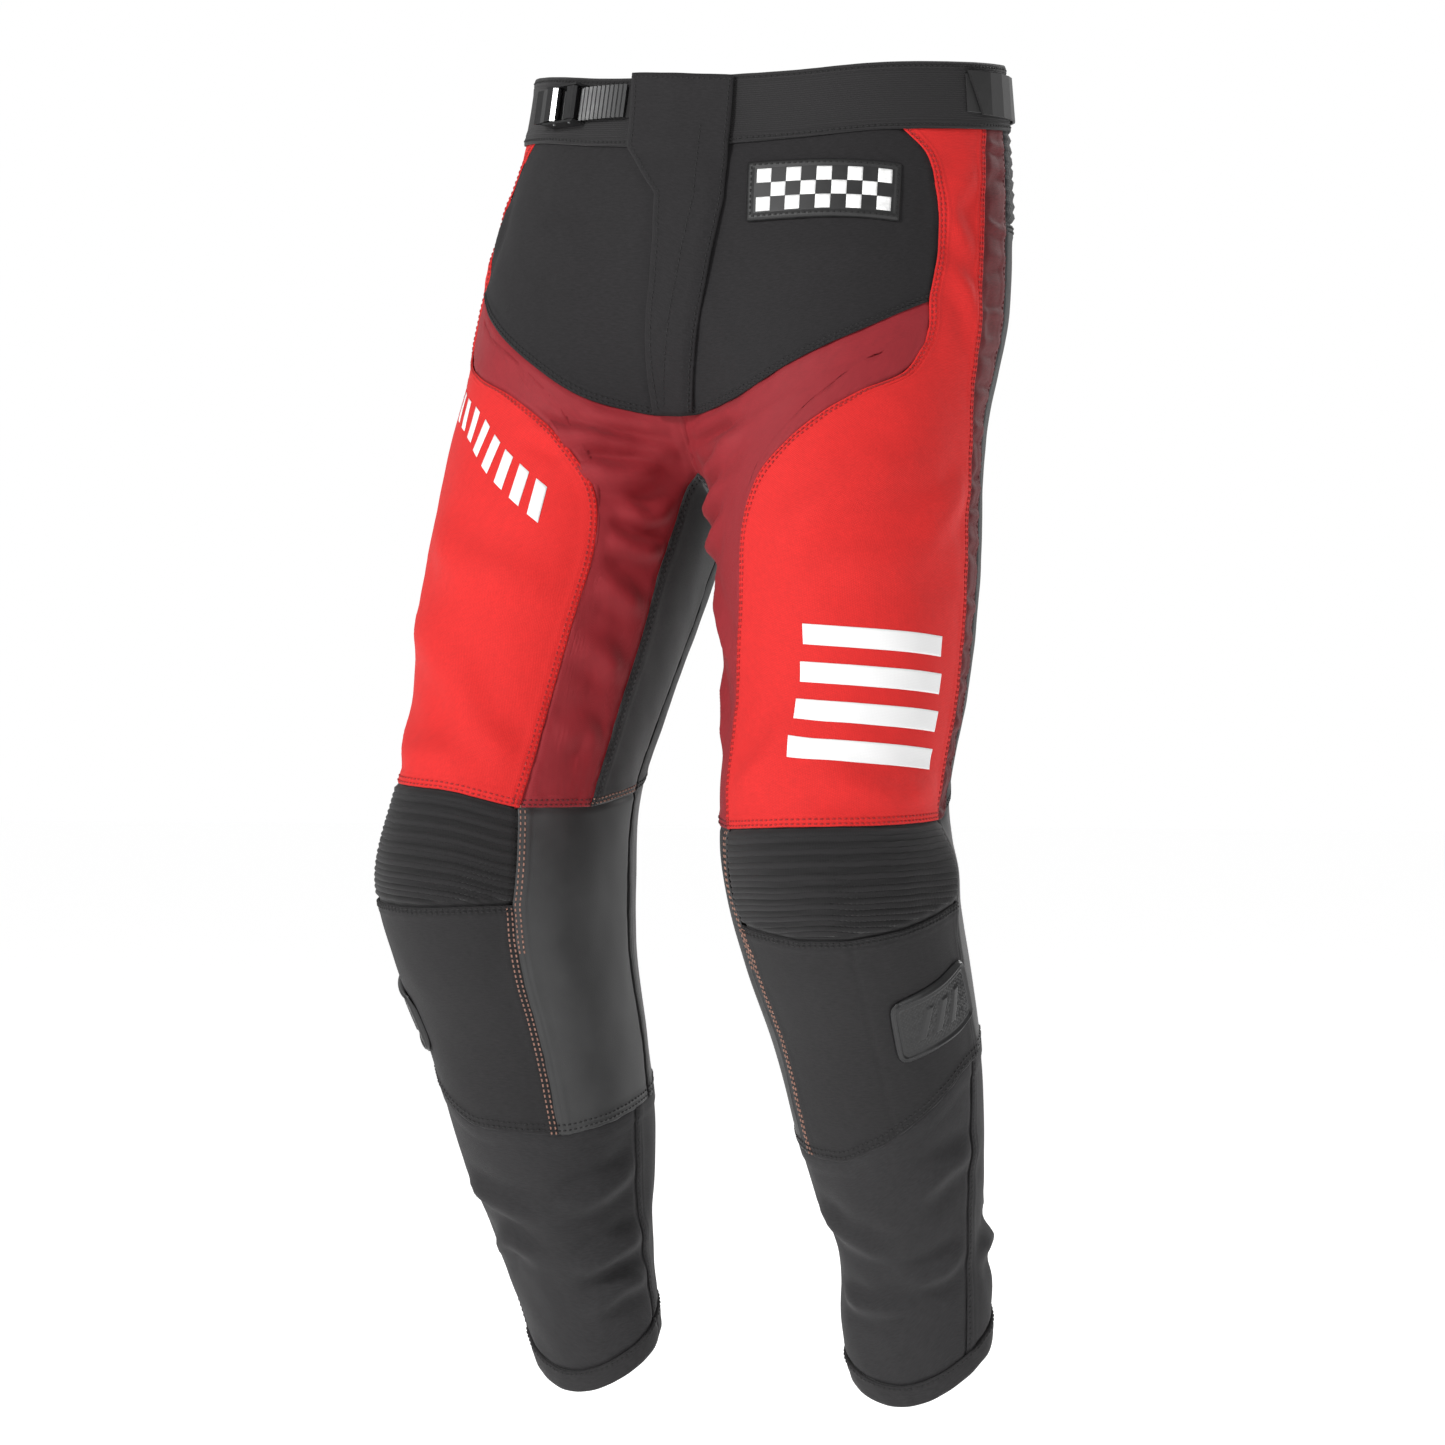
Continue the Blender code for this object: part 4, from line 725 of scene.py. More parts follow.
class Finish:
    """A procedural material, built up node by node."""

    def __init__(self, name, base, roughness=0.8, sheen=0.0, metallic=0.0):
        self.material = bpy.data.materials.new(name)
        self.material.use_nodes = True
        self.nodes = self.material.node_tree.nodes
        self.links = self.material.node_tree.links
        self.shader = self.nodes["Principled BSDF"]
        self.shader.inputs["Base Color"].default_value = base
        self.shader.inputs["Roughness"].default_value = roughness
        self.shader.inputs["Metallic"].default_value = metallic
        if sheen:
            self.shader.inputs["Specular IOR Level"].default_value = 0.35
            self.shader.inputs["Sheen Weight"].default_value = sheen
            self.shader.inputs["Sheen Roughness"].default_value = 0.5
        self.material.diffuse_color = base

    def node(self, kind, **settings):
        """A new node with its settings."""
        made = self.nodes.new(kind)
        for key, value in settings.items():
            setattr(made, key, value)
        return made

    def sums(self, operation, a, b):
        """A math node on two sockets or numbers."""
        made = self.node("ShaderNodeMath", operation=operation)
        for socket, value in zip(made.inputs, (a, b)):
            if isinstance(value, (int, float)):
                socket.default_value = value
            else:
                self.links.new(value, socket)
        return made.outputs[0]

    def cloth_map(self):
        """The piece's own map, in metres."""
        return self.node("ShaderNodeUVMap", uv_map="cloth_metres").outputs[0]

    def object_map(self):
        """Places in the object's own space, in metres."""
        return self.node("ShaderNodeTexCoord").outputs["Object"]

    def turned(self, vector, angle=0.0, scale=(1.0, 1.0, 1.0)):
        """A map turned and scaled."""
        made = self.node("ShaderNodeMapping")
        made.inputs["Rotation"].default_value = (0.0, 0.0, radians(angle))
        made.inputs["Scale"].default_value = scale
        self.links.new(vector, made.inputs["Vector"])
        return made.outputs[0]

    def bands(self, vector, direction, period, distortion=0.0):
        """Even ridges across one direction of a map."""
        made = self.node("ShaderNodeTexWave", wave_type="BANDS", bands_direction=direction)
        made.inputs["Scale"].default_value = pi / (10.0 * period)
        made.inputs["Distortion"].default_value = distortion
        self.links.new(vector, made.inputs["Vector"])
        return made.outputs["Fac"]

    def noise(self, vector, size, detail=2.0, roughness=0.5):
        """Soft mottling of a given size."""
        made = self.node("ShaderNodeTexNoise")
        made.inputs["Scale"].default_value = 1.0 / size
        made.inputs["Detail"].default_value = detail
        made.inputs["Roughness"].default_value = roughness
        self.links.new(vector, made.inputs["Vector"])
        return made.outputs["Fac"]

    def ramp(self, factor, low, high, dark, light):
        """Colours from dark to light as the factor goes from low to high."""
        made = self.node("ShaderNodeValToRGB")
        made.color_ramp.elements[0].position = low
        made.color_ramp.elements[0].color = dark
        made.color_ramp.elements[1].position = high
        made.color_ramp.elements[1].color = light
        self.links.new(factor, made.inputs["Fac"])
        return made.outputs["Color"]

    def paint(self, socket):
        """Use a colour for the base."""
        self.links.new(socket, self.shader.inputs["Base Color"])

    def gloss(self, factor, low, high):
        """Roughness between two values."""
        made = self.node("ShaderNodeMapRange")
        made.inputs["To Min"].default_value = low
        made.inputs["To Max"].default_value = high
        self.links.new(factor, made.inputs["Value"])
        self.links.new(made.outputs[0], self.shader.inputs["Roughness"])

    def bump(self, height, distance, strength=0.6):
        """Fine relief of a given depth."""
        made = self.node("ShaderNodeBump")
        made.inputs["Distance"].default_value = distance
        made.inputs["Strength"].default_value = strength
        self.links.new(height, made.inputs["Height"])
        self.links.new(made.outputs[0], self.shader.inputs["Normal"])


def shaded(base, factor):
    """A colour made lighter or darker."""
    return (base[0] * factor, base[1] * factor, base[2] * factor, 1.0)


def woven(name, base, period=0.0011, roughness=0.75, weave_gap_shade=0.25, mottle=0.12, sheen=0.15,
          depth=0.00018, slant=0.0, streaks=0.5, spread=0.45):
    """Plain or slanted weave: two sets of threads, with a little mottling. The colour is darker in
    the gaps between the threads, which is painted shade; the mottling and slubs are the cloth's own
    uneven tone.
    """
    cloth = Finish(name, base, roughness, sheen)
    flat = cloth.turned(cloth.cloth_map(), slant)
    warp = cloth.bands(flat, "X", period, 0.4)
    weft = cloth.bands(flat, "Y", period, 0.4)
    threads = cloth.sums("MULTIPLY", warp, weft)
    mottling = cloth.noise(flat, 0.010, 3.0)
    slubs = cloth.noise(cloth.turned(flat, 0.0, (0.22, 1.0, 1.0)), 0.0011, 2.0, 0.6)
    uneven = cloth.sums("ADD", cloth.sums("MULTIPLY", mottling, mottle),
                        cloth.sums("MULTIPLY", slubs, streaks))
    mixed = cloth.sums("ADD", cloth.sums("MULTIPLY", threads, weave_gap_shade), uneven)
    low = 0.3 * (mottle + streaks)
    high = weave_gap_shade + 0.72 * (mottle + streaks)
    # colour: the thread term darkens the gaps between threads as painted shade; mottling and slubs
    # are real uneven tone
    cloth.paint(cloth.ramp(mixed, low, high, shaded(base, 1 - spread), shaded(base, 1 + spread)))
    cloth.bump(cloth.sums("ADD", threads, cloth.sums("MULTIPLY", slubs, 0.8)), depth)
    return cloth.material


def ribbed(name, base, period, direction="Y", roughness=0.8, depth=0.0004, sheen=0.1):
    """Corded webbing with rows of ribs and fine threads across them. Its colour follows the relief:
    darker in the grooves as painted shade, lighter on the ribs as painted highlight.
    """
    cloth = Finish(name, base, roughness, sheen)
    flat = cloth.cloth_map()
    rows = cloth.bands(flat, direction, period, 0.2)
    cross = cloth.bands(flat, "X" if direction == "Y" else "Y", period * 0.45, 0.3)
    height = cloth.sums("ADD", rows, cloth.sums("MULTIPLY", cross, 0.35))
    # colour from the rib relief: painted shade in the grooves, painted highlight on the ribs
    cloth.paint(cloth.ramp(height, 0.1, 1.2, shaded(base, 0.6), shaded(base, 1.35)))
    cloth.bump(height, depth)
    return cloth.material


def knitted(name, base, fleck=0.5, roughness=0.9, depth=0.00025, size=0.0009, sheen=0.25):
    """Heathered stretch knit: fine stitches with lighter flecks."""
    cloth = Finish(name, base, roughness, sheen)
    flat = cloth.cloth_map()
    stretched = cloth.turned(flat, 0.0, (1.0, 0.45, 1.0))
    fibres = cloth.noise(stretched, size, 3.0, 0.7)
    clouds = cloth.noise(flat, 0.012, 2.0)
    mixed = cloth.sums("ADD", cloth.sums("MULTIPLY", fibres, 0.8),
                       cloth.sums("MULTIPLY", clouds, 0.2))
    cloth.paint(cloth.ramp(mixed, 0.35, 0.68, shaded(base, 1 - 0.45 * fleck),
                           shaded(base, 1 + 0.9 * fleck)))
    loops = cloth.bands(flat, "Y", 0.0012, 0.6)
    cloth.bump(cloth.sums("ADD", fibres, cloth.sums("MULTIPLY", loops, 0.4)), depth)
    return cloth.material


def hide_finish(name, base):
    """Smooth dull leather with a fine grain."""
    hide = Finish(name, base, 0.5)
    place_map = hide.object_map()
    cells = hide.node("ShaderNodeTexVoronoi", feature="DISTANCE_TO_EDGE")
    cells.inputs["Scale"].default_value = 900.0
    hide.links.new(place_map, cells.inputs["Vector"])
    grain = hide.sums("MINIMUM", cells.outputs["Distance"], 0.35)
    clouds = hide.noise(place_map, 0.025, 4.0)
    hide.paint(hide.ramp(clouds, 0.3, 0.7, shaded(base, 0.82), shaded(base, 1.2)))
    hide.gloss(clouds, 0.42, 0.58)
    hide.bump(hide.sums("ADD", hide.sums("MULTIPLY", grain, 1.2),
                        hide.sums("MULTIPLY", clouds, 0.4)), 0.00012)
    return hide.material


def moulded(name, base, roughness, grain=0.0008, metallic=0.0, coat=0.0):
    """Moulded plastic, rubber or metal with faint wear."""
    made = Finish(name, base, roughness, 0.0, metallic)
    if coat:
        made.shader.inputs["Coat Weight"].default_value = coat
    place_map = made.object_map()
    speckle = made.noise(place_map, grain, 2.0)
    scuffs = made.noise(place_map, 0.008, 5.0, 0.65)
    made.paint(made.ramp(scuffs, 0.35, 0.75, shaded(base, 0.85), shaded(base, 1.35)))
    made.gloss(scuffs, max(roughness - 0.06, 0.05), roughness + 0.14)
    made.bump(speckle, 0.00006)
    return made.material


def printed(name, base):
    """Rubbery screen print that lets a little of the weave through: its colour is a little darker
    in the gaps between the threads, which is painted shade.
    """
    ink = Finish(name, base, 0.55)
    flat = ink.cloth_map()
    threads = ink.sums("MULTIPLY", ink.bands(flat, "X", 0.0011, 0.3),
                       ink.bands(flat, "Y", 0.0011, 0.3))
    # the ink is darker in the gaps between the threads: painted shade
    ink.paint(ink.ramp(threads, 0.0, 1.0, shaded(base, 0.93), base))
    ink.bump(threads, 0.00007)
    return ink.material


FINISHES = {
    "yoke": woven("yoke_twill", colour(0.0135, 0.0123, 0.0135), 0.0009, 0.84, 0.35, 0.10, 0.03,
                  0.00025, 0.0, 0.6, 0.6),
    "maroon": woven("maroon_stretch", colour(0.265, 0.0115, 0.0180), 0.0007, 0.66, 0.18, 0.20, 0.04,
                    0.00010, 30.0, 0.25, 0.22),
    "red": woven("red_canvas", colour(0.640, 0.0165, 0.0150), 0.0012, 0.80, 0.30, 0.15, 0.02,
                 0.00022, 0.0, 0.35, 0.22),
    "stripe": woven("dark_maroon_cloth", colour(0.115, 0.0095, 0.0125), 0.0009, 0.72, 0.2, 0.15,
                    0.05),
    "knit": knitted("inner_leg_knit", colour(0.0190, 0.0185, 0.0190), 0.7, 0.95),
    "seat": woven("seat_twill", colour(0.0145, 0.0136, 0.0143), 0.0010, 0.82, 0.3, 0.1, 0.1),
    "rib": ribbed("ribbed_stretch", colour(0.0108, 0.0102, 0.0108), 0.0041, "Y", 0.9, 0.0003),
    "cup": woven("knee_cloth", colour(0.0170, 0.0161, 0.0170), 0.0008, 0.86, 0.25, 0.12, 0.04,
                 0.00012),
    "hide": hide_finish("inner_knee_hide", colour(0.0240, 0.0240, 0.0244)),
    "back": knitted("knee_back_stretch", colour(0.0119, 0.0115, 0.0119), 0.4, 0.92),
    "calf": woven("lower_leg_stretch", colour(0.0213, 0.0204, 0.0217), 0.0007, 0.86, 0.22, 0.14,
                  0.05, 0.00010),
    "cuff": woven("cuff_hem", colour(0.0220, 0.0210, 0.0220), 0.0007, 0.86, 0.22, 0.14, 0.05,
                  0.00010),
    "band": ribbed("waistband_webbing", colour(0.0127, 0.0119, 0.0126), 0.0016, "Y", 0.8, 0.0003),
    "flap": woven("fly_twill", colour(0.0135, 0.0123, 0.0135), 0.0009, 0.84, 0.35, 0.10, 0.03,
                  0.00025, 0.0, 0.6, 0.6),
    "back_yoke": ribbed("back_stretch_panel", colour(0.0140, 0.0130, 0.0138), 0.0050, "X", 0.85,
                        0.0006),
    "tab": ribbed("tab_webbing", colour(0.0170, 0.0165, 0.0170), 0.0016, "X", 0.75, 0.0003),
    "loops": knitted("loop_pile", colour(0.0120, 0.0118, 0.0120), 1.0, 0.98, 0.0005, 0.0006),
    "tape": woven("zip_tape_weave", colour(0.0130, 0.0125, 0.0130), 0.0007, 0.8),
    # the black, red and maroon thread colours are darker than the cloth they sew: partly the
    # thread's own colour, partly painted shade of the stitch grooves
    "thread_black": moulded("black_thread", colour(0.0060, 0.0058, 0.0060), 0.7),
    "thread_dark": moulded("dark_thread", colour(0.0045, 0.0042, 0.0045), 0.7),
    "thread_red": moulded("red_thread", colour(0.300, 0.0080, 0.0080), 0.7),
    "thread_maroon": moulded("maroon_thread", colour(0.075, 0.0045, 0.0070), 0.7),
    "thread_beige": moulded("beige_thread", colour(0.260, 0.1350, 0.1000), 0.6),
    "print": printed("white_print", colour(0.860, 0.8600, 0.8600)),
    "rubber": moulded("patch_rubber", colour(0.0120, 0.0118, 0.0122), 0.5),
    "rubber_white": moulded("white_rubber", colour(0.820, 0.8200, 0.8150), 0.5),
    "badge": moulded("badge_rubber", colour(0.0075, 0.0075, 0.0080), 0.33),
    "plastic": moulded("moulded_plastic", colour(0.0100, 0.0100, 0.0105), 0.38),
    "gloss": moulded("glossy_plastic", colour(0.0080, 0.0080, 0.0085), 0.14, 0.0012, 0.0, 0.4),
    "steel": moulded("steel_pin", colour(0.480, 0.4800, 0.4900), 0.28, 0.0006, 1.0),
}


def carry_over(nodes, finish):
    """Give kept frame pieces their finish."""
    for name in nodes:
        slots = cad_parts[name].data.materials
        slots.clear()
        slots.append(FINISHES[finish])


# ---------------------------------------------------------------- the seams of one side
def side_seams(side):
    """Every line that two panels of a side share, on the left side's places."""
    seams = {}
    corner = torso_point(*YOKE_CORNER[side])
    red_corner = torso_point(70, HIP_LEVEL)
    seams["yoke_side"] = smooth_line(
        [torso_point(YOKE_TOP, line_height(BAND_BOTTOM, YOKE_TOP) + BAND_LAP)]
        + [torso_point(a, z) for a, z in YOKE_SIDE[side]] + [corner], 60)
    seams["yoke_low"] = smooth_line(
        [front_point(0.0, FRONT_YOKE_END)] + [torso_point(a, z) for a, z in YOKE_LOW[side]]
        + [corner], 80)
    seams["corner_side"] = smooth_line([corner, torso_point(70.5, -0.193), red_corner], 12)
    knee = KNEE_SEAM[side]
    inner = RIB_INNER[side]
    seams["red_inner"] = smooth_line(
        [red_corner] + [place(kind, a, z) for kind, a, z in RED_INNER[side]]
        + [leg_point(inner, line_height(knee, inner))], 120)
    seams["keel_front"] = smooth_line([
        front_point(0.0, FRONT_YOKE_END), keel_point(KEEL_FRONT - 12), keel_point(KEEL_FRONT)], 20)
    seams["keel_low"] = smooth_line(
        [keel_point(a) for a in np.linspace(KEEL_FRONT, KEEL_REAR, 7)], 40)
    seams["keel_back"] = smooth_line(
        [keel_point(a) for a in np.linspace(KEEL_REAR, 188, 7)] + [torso_point(180, REAR_YOKE)], 80)
    seams["inseam_front"] = smooth_line([
        keel_point(KEEL_FRONT), leg_point(-75, -0.325), leg_point(-73, -0.370),
        leg_point(-75, -0.420), leg_point(-76, -0.490),
        leg_point(INSEAM_FRONT, line_height(knee, INSEAM_FRONT))], 90)
    seams["inseam_rear"] = smooth_line([
        keel_point(KEEL_REAR), leg_point(-118, -0.360), leg_point(-117, -0.420),
        leg_point(INSEAM_REAR, -0.480), leg_point(INSEAM_REAR, line_height(knee, INSEAM_REAR))], 90)
    seams["stripe_front"] = smooth_line(
        [torso_point(STRIPE_TOP[0], line_height(BAND_BOTTOM, STRIPE_TOP[0]) + BAND_LAP),
         torso_point(84, -0.140), torso_point(85, HIP_LEVEL), leg_point(91, -0.280),
         leg_point(90, -0.360), leg_point(STRIPE_END[0], -0.460),
         leg_point(STRIPE_END[0], line_height(knee, STRIPE_END[0]))], 160)
    seams["stripe_rear"] = smooth_line(
        [torso_point(STRIPE_TOP[1], line_height(BAND_BOTTOM, STRIPE_TOP[1]) + BAND_LAP),
         torso_point(94, -0.140), torso_point(96, HIP_LEVEL), leg_point(104, -0.280),
         leg_point(105, -0.360), leg_point(STRIPE_END[1], -0.460),
         leg_point(STRIPE_END[1], line_height(knee, STRIPE_END[1]))], 160)
    seams["rear_yoke"] = smooth_line(
        [torso_point(a, REAR_YOKE) for a in np.linspace(94, 180, 9)], 80)
    return seams


def part_of(line, z_high, z_low):
    """The stretch of a line between two heights."""
    kept = (line[:, 2] <= z_high + 1e-6) & (line[:, 2] >= z_low - 1e-6)
    return line[kept]


def slack_waves(length, height):
    """Relief for a panel that is eased in: uneven ridges across it."""
    def relief(across, down, points):
        z = points[..., 2]
        drift = waves(points, 0.060, 21) * 0.006
        turn = 2 * pi * (z + drift) / length
        ridge = np.sin(turn) + 0.5 * np.sin(turn * 1.7)
        widest = np.maximum(across.max(axis=1, keepdims=True), 1e-6)
        middle = np.sin(pi * np.clip(across / widest, 0, 1))
        return height * ridge * np.clip(middle, 0, 1)**0.5
    return relief


THREADS = {}


def keep_rows(group, finish, rows):
    """Remember stitch rows until all the thread of one kind is made."""
    THREADS.setdefault((group, finish), []).extend(rows)


def side_name(name, side):
    return name + "_" + side


def flipped(edge, side):
    """The edge's name after mirroring."""
    if side == "right" and edge in ("left", "right"):
        return "right" if edge == "left" else "left"
    return edge


def double_rows(surface, edge, side, first=0.0020, second=0.0056, start=0.01, end=0.99):
    """Two rows of stitches along an edge."""
    edge = flipped(edge, side)
    if side == "right" and edge in ("top", "bottom"):
        start, end = 1 - end, 1 - start
    return [surface.edge_row(edge, first, start, end), surface.edge_row(edge, second, start, end)]


def shell_panels(side, seams):
    """Yoke, thigh, stripe, knit and seat cloth of one side."""
    knee = KNEE_SEAM[side]
    inner = RIB_INNER[side]

    zip_side = smooth_line([front_point(0.010, z) for z in np.linspace(-0.058, -0.19, 5)]
                           + [front_point(0.0025, -0.212), front_point(0.0, FRONT_YOKE_END)], 60)
    top_angle = degrees(atan2(0.010, 0.12))
    yoke_top = under_band(np.linspace(top_angle, YOKE_TOP, 8), 60)
    patch = fill_patch(yoke_top, seams["yoke_low"], zip_side, seams["yoke_side"])
    made, surface = sewn_panel(side_name("front_yoke_cloth", side), patch, side, FINISHES["yoke"],
                               ("under", "over", "free", "under"), pucker=0.0002, lift=0.0002)
    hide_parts(side_name("front_yoke", side))
    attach(made, "shell")
    keep_rows("shell", "thread_dark", double_rows(surface, "bottom", side))

    maroon_top = np.vstack([seams["yoke_low"], seams["corner_side"][1:]])
    maroon_inner = np.vstack([seams["keel_front"], seams["inseam_front"][1:]])
    bottom = leg_line(knee, INSEAM_FRONT, inner)
    patch = fill_patch(maroon_top, bottom, maroon_inner, seams["red_inner"],
                       (False, True, True, True))
    made, surface = sewn_panel(side_name("maroon_thigh_cloth", side), patch, side,
                               FINISHES["maroon"], ("under", "over", "under", "under"),
                               pucker=0.0006, folds=1.3)
    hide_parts(side_name("inner_thigh", side))
    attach(made, "shell")
    keep_rows("shell", "thread_maroon", double_rows(surface, "bottom", side))

    red_top = under_band(np.linspace(YOKE_TOP, STRIPE_TOP[0], 4), 30)
    hip = smooth_line([torso_point(a, HIP_LEVEL) for a in (70, 77.5, 85)], 30)
    bottom = leg_line(knee, inner, STRIPE_END[0])
    front = seams["stripe_front"]
    shares = seam_shares(length_of(bottom), True, True)
    upper = fill_patch(red_top, hip, np.vstack([seams["yoke_side"], seams["corner_side"][1:]]),
                       part_of(front, 0.0, HIP_LEVEL), (True, False, True, True), across=shares)
    lower = fill_patch(hip, bottom, seams["red_inner"], part_of(front, HIP_LEVEL, -1.0),
                       (False, True, True, True), across=shares)
    patch = np.vstack([upper, lower[1:]])
    made, surface = sewn_panel(side_name("red_thigh_cloth", side), patch, side, FINISHES["red"],
                               ("under", "over", "over", "over"))
    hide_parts(side_name("outer_thigh", side))
    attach(made, "shell")
    for edge in ("bottom", "left", "right"):
        keep_rows("shell", "thread_red", double_rows(surface, edge, side))

    stripe_top = under_band((STRIPE_TOP[0], 90, STRIPE_TOP[1]), 10)
    patch = fill_patch(stripe_top, leg_line(knee, *STRIPE_END), front, seams["stripe_rear"],
                       cell=STRIPE_CELL)
    made, surface = sewn_panel(side_name("side_stripe_cloth", side), patch, side,
                               FINISHES["stripe"], ("under", "over", "under", "over"),
                               own_relief=slack_waves(0.021, 0.0013), pucker=0.0005)
    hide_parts(side_name("side_stripe", side))
    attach(made, "shell")
    keep_rows("shell", "thread_maroon", double_rows(surface, "right", side)[:1])

    seat_inner = np.vstack([seams["keel_back"][::-1], seams["inseam_rear"][1:]])
    rear = part_of(seams["stripe_rear"], REAR_YOKE, -1.0)
    bottom = leg_line(knee, STRIPE_END[1], 360 + INSEAM_REAR)
    patch = fill_patch(seams["rear_yoke"], bottom, rear, seat_inner)
    made, surface = sewn_panel(side_name("seat_cloth", side), patch, side, FINISHES["seat"],
                               ("over", "over", "under", "free"))
    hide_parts(side_name("seat", side))
    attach(made, "shell")
    keep_rows("shell", "thread_black", double_rows(surface, "top", side))
    keep_rows("shell", "thread_black", double_rows(surface, "bottom", side))

    knit_bottom = leg_line(knee, INSEAM_REAR, INSEAM_FRONT)
    patch = fill_patch(seams["keel_low"][::-1], knit_bottom, seams["inseam_rear"],
                       seams["inseam_front"])
    made, surface = sewn_panel(side_name("inner_leg_cloth", side), patch, side, FINISHES["knit"],
                               ("free", "over", "under", "over"))
    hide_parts(side_name("knit_panel", side))
    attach(made, "shell")
    keep_rows("shell", "thread_beige", double_rows(surface, "bottom", side))
    keep_rows("shell", "thread_black", double_rows(surface, "right", side))


def rib_relief(across, down, points):
    """Knitted cords that run round the knee."""
    depth = down + waves(points, 0.05, 31) * 0.0006
    near = np.minimum(down, down.max(axis=0, keepdims=True) - down)
    return 0.0010 * (np.sin(2 * pi * depth / 0.0043) - 0.3) * smooth_step(near, 0.003, 0.007)


def knee_pieces(side):
    """Rib, cup, hide, back and hem of one knee, and the cloth below it."""
    shin = side_name(side, "shin")
    knee = KNEE_SEAM[side]
    rib_low = RIB_BOTTOM[side]
    hem = KNEE_HEM[side]
    inner = RIB_INNER[side]

    start = leg_line(knee, inner, RIB_OUTER)
    middle = leg_line(rib_low, inner, RIB_OUTER)
    end = leg_line(hem, inner, RIB_OUTER)
    rib_left = smooth_line([start[0], (start[0] + middle[0]) / 2, middle[0]], 30)
    rib_right = smooth_line([start[-1], (start[-1] + middle[-1]) / 2, middle[-1]], 30)
    patch = fill_patch(start, middle, rib_left, rib_right, down=np.linspace(0, 1, 121))
    made, surface = sewn_panel(side_name("knee_rib_cloth", side), patch, side, FINISHES["rib"],
                               ("under", "under", "under", "under"), RIB_CLOTH, rib_relief,
                               folds=0.6)
    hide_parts(side_name("knee_rib", side))
    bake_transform(made)

    cup_left = smooth_line([leg_point(inner, z)
                            for z in np.linspace(middle[0][2], end[0][2], 7)], 60)
    cup_right = smooth_line([leg_point(RIB_OUTER, z)
                             for z in np.linspace(middle[-1][2], end[-1][2], 7)], 60)
    patch = fill_patch(middle, end, cup_left, cup_right, cell=0.0024)

    def centre_seam(across, down, points):
        share = across / across.max(axis=1, keepdims=True)
        return -0.0007 * np.exp(-((share - 0.47) * 150)**2 / 2.0)

    made, surface = sewn_panel(side_name("knee_cup_cloth", side), patch, side, FINISHES["cup"],
                               ("over", "over", "over", "over"), lift=0.0005,
                               own_relief=centre_seam if side == "left" else None)
    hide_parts(side_name("knee_cup", side))
    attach(made, shin)
    keep_rows(shin, "thread_black", [surface.edge_row("top", inset) for inset in CUP_ROWS])
    keep_rows(shin, "thread_black", double_rows(surface, "bottom", side, *HEM_ROWS))
    keep_rows(shin, "thread_beige", double_rows(surface, "left", side))

    inner_line = smooth_line([leg_point(INSEAM_REAR, z) for z in np.linspace(
        line_height(knee, INSEAM_REAR), line_height(hem, INSEAM_REAR), 9)], 80)
    patch = fill_patch(leg_line(knee, INSEAM_REAR, inner), leg_line(hem, INSEAM_REAR, inner),
                       inner_line, np.vstack([rib_left, cup_left[1:]]))
    made, surface = sewn_panel(side_name("inner_knee_hide", side), patch, side, FINISHES["hide"],
                               ("under", "over", "under", "over"), lift=0.0003)
    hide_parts(side_name("knee_hide", side))
    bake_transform(made)
    keep_rows("knee_" + side, "thread_beige", double_rows(surface, "right", side, end=0.42))
    keep_rows(shin, "thread_black", double_rows(surface, "bottom", side, *HEM_ROWS))

    patch = fill_patch(leg_line(knee, RIB_OUTER, 360 + INSEAM_REAR),
                       leg_line(hem, RIB_OUTER, 360 + INSEAM_REAR),
                       np.vstack([rib_right, cup_right[1:]]), inner_line)
    made, surface = sewn_panel(side_name("knee_back_cloth", side), patch, side, FINISHES["back"],
                               ("under", "over", "under", "over"))
    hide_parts(side_name("knee_back", side))
    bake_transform(made)
    keep_rows(shin, "thread_black", double_rows(surface, "bottom", side, *HEM_ROWS))
    lower_leg(side, shin)


def cuff_height(angle):
    """Height of the cuff's lower edge."""
    return CUFF_MIDDLE - CUFF_TILT * cos(radians(angle))


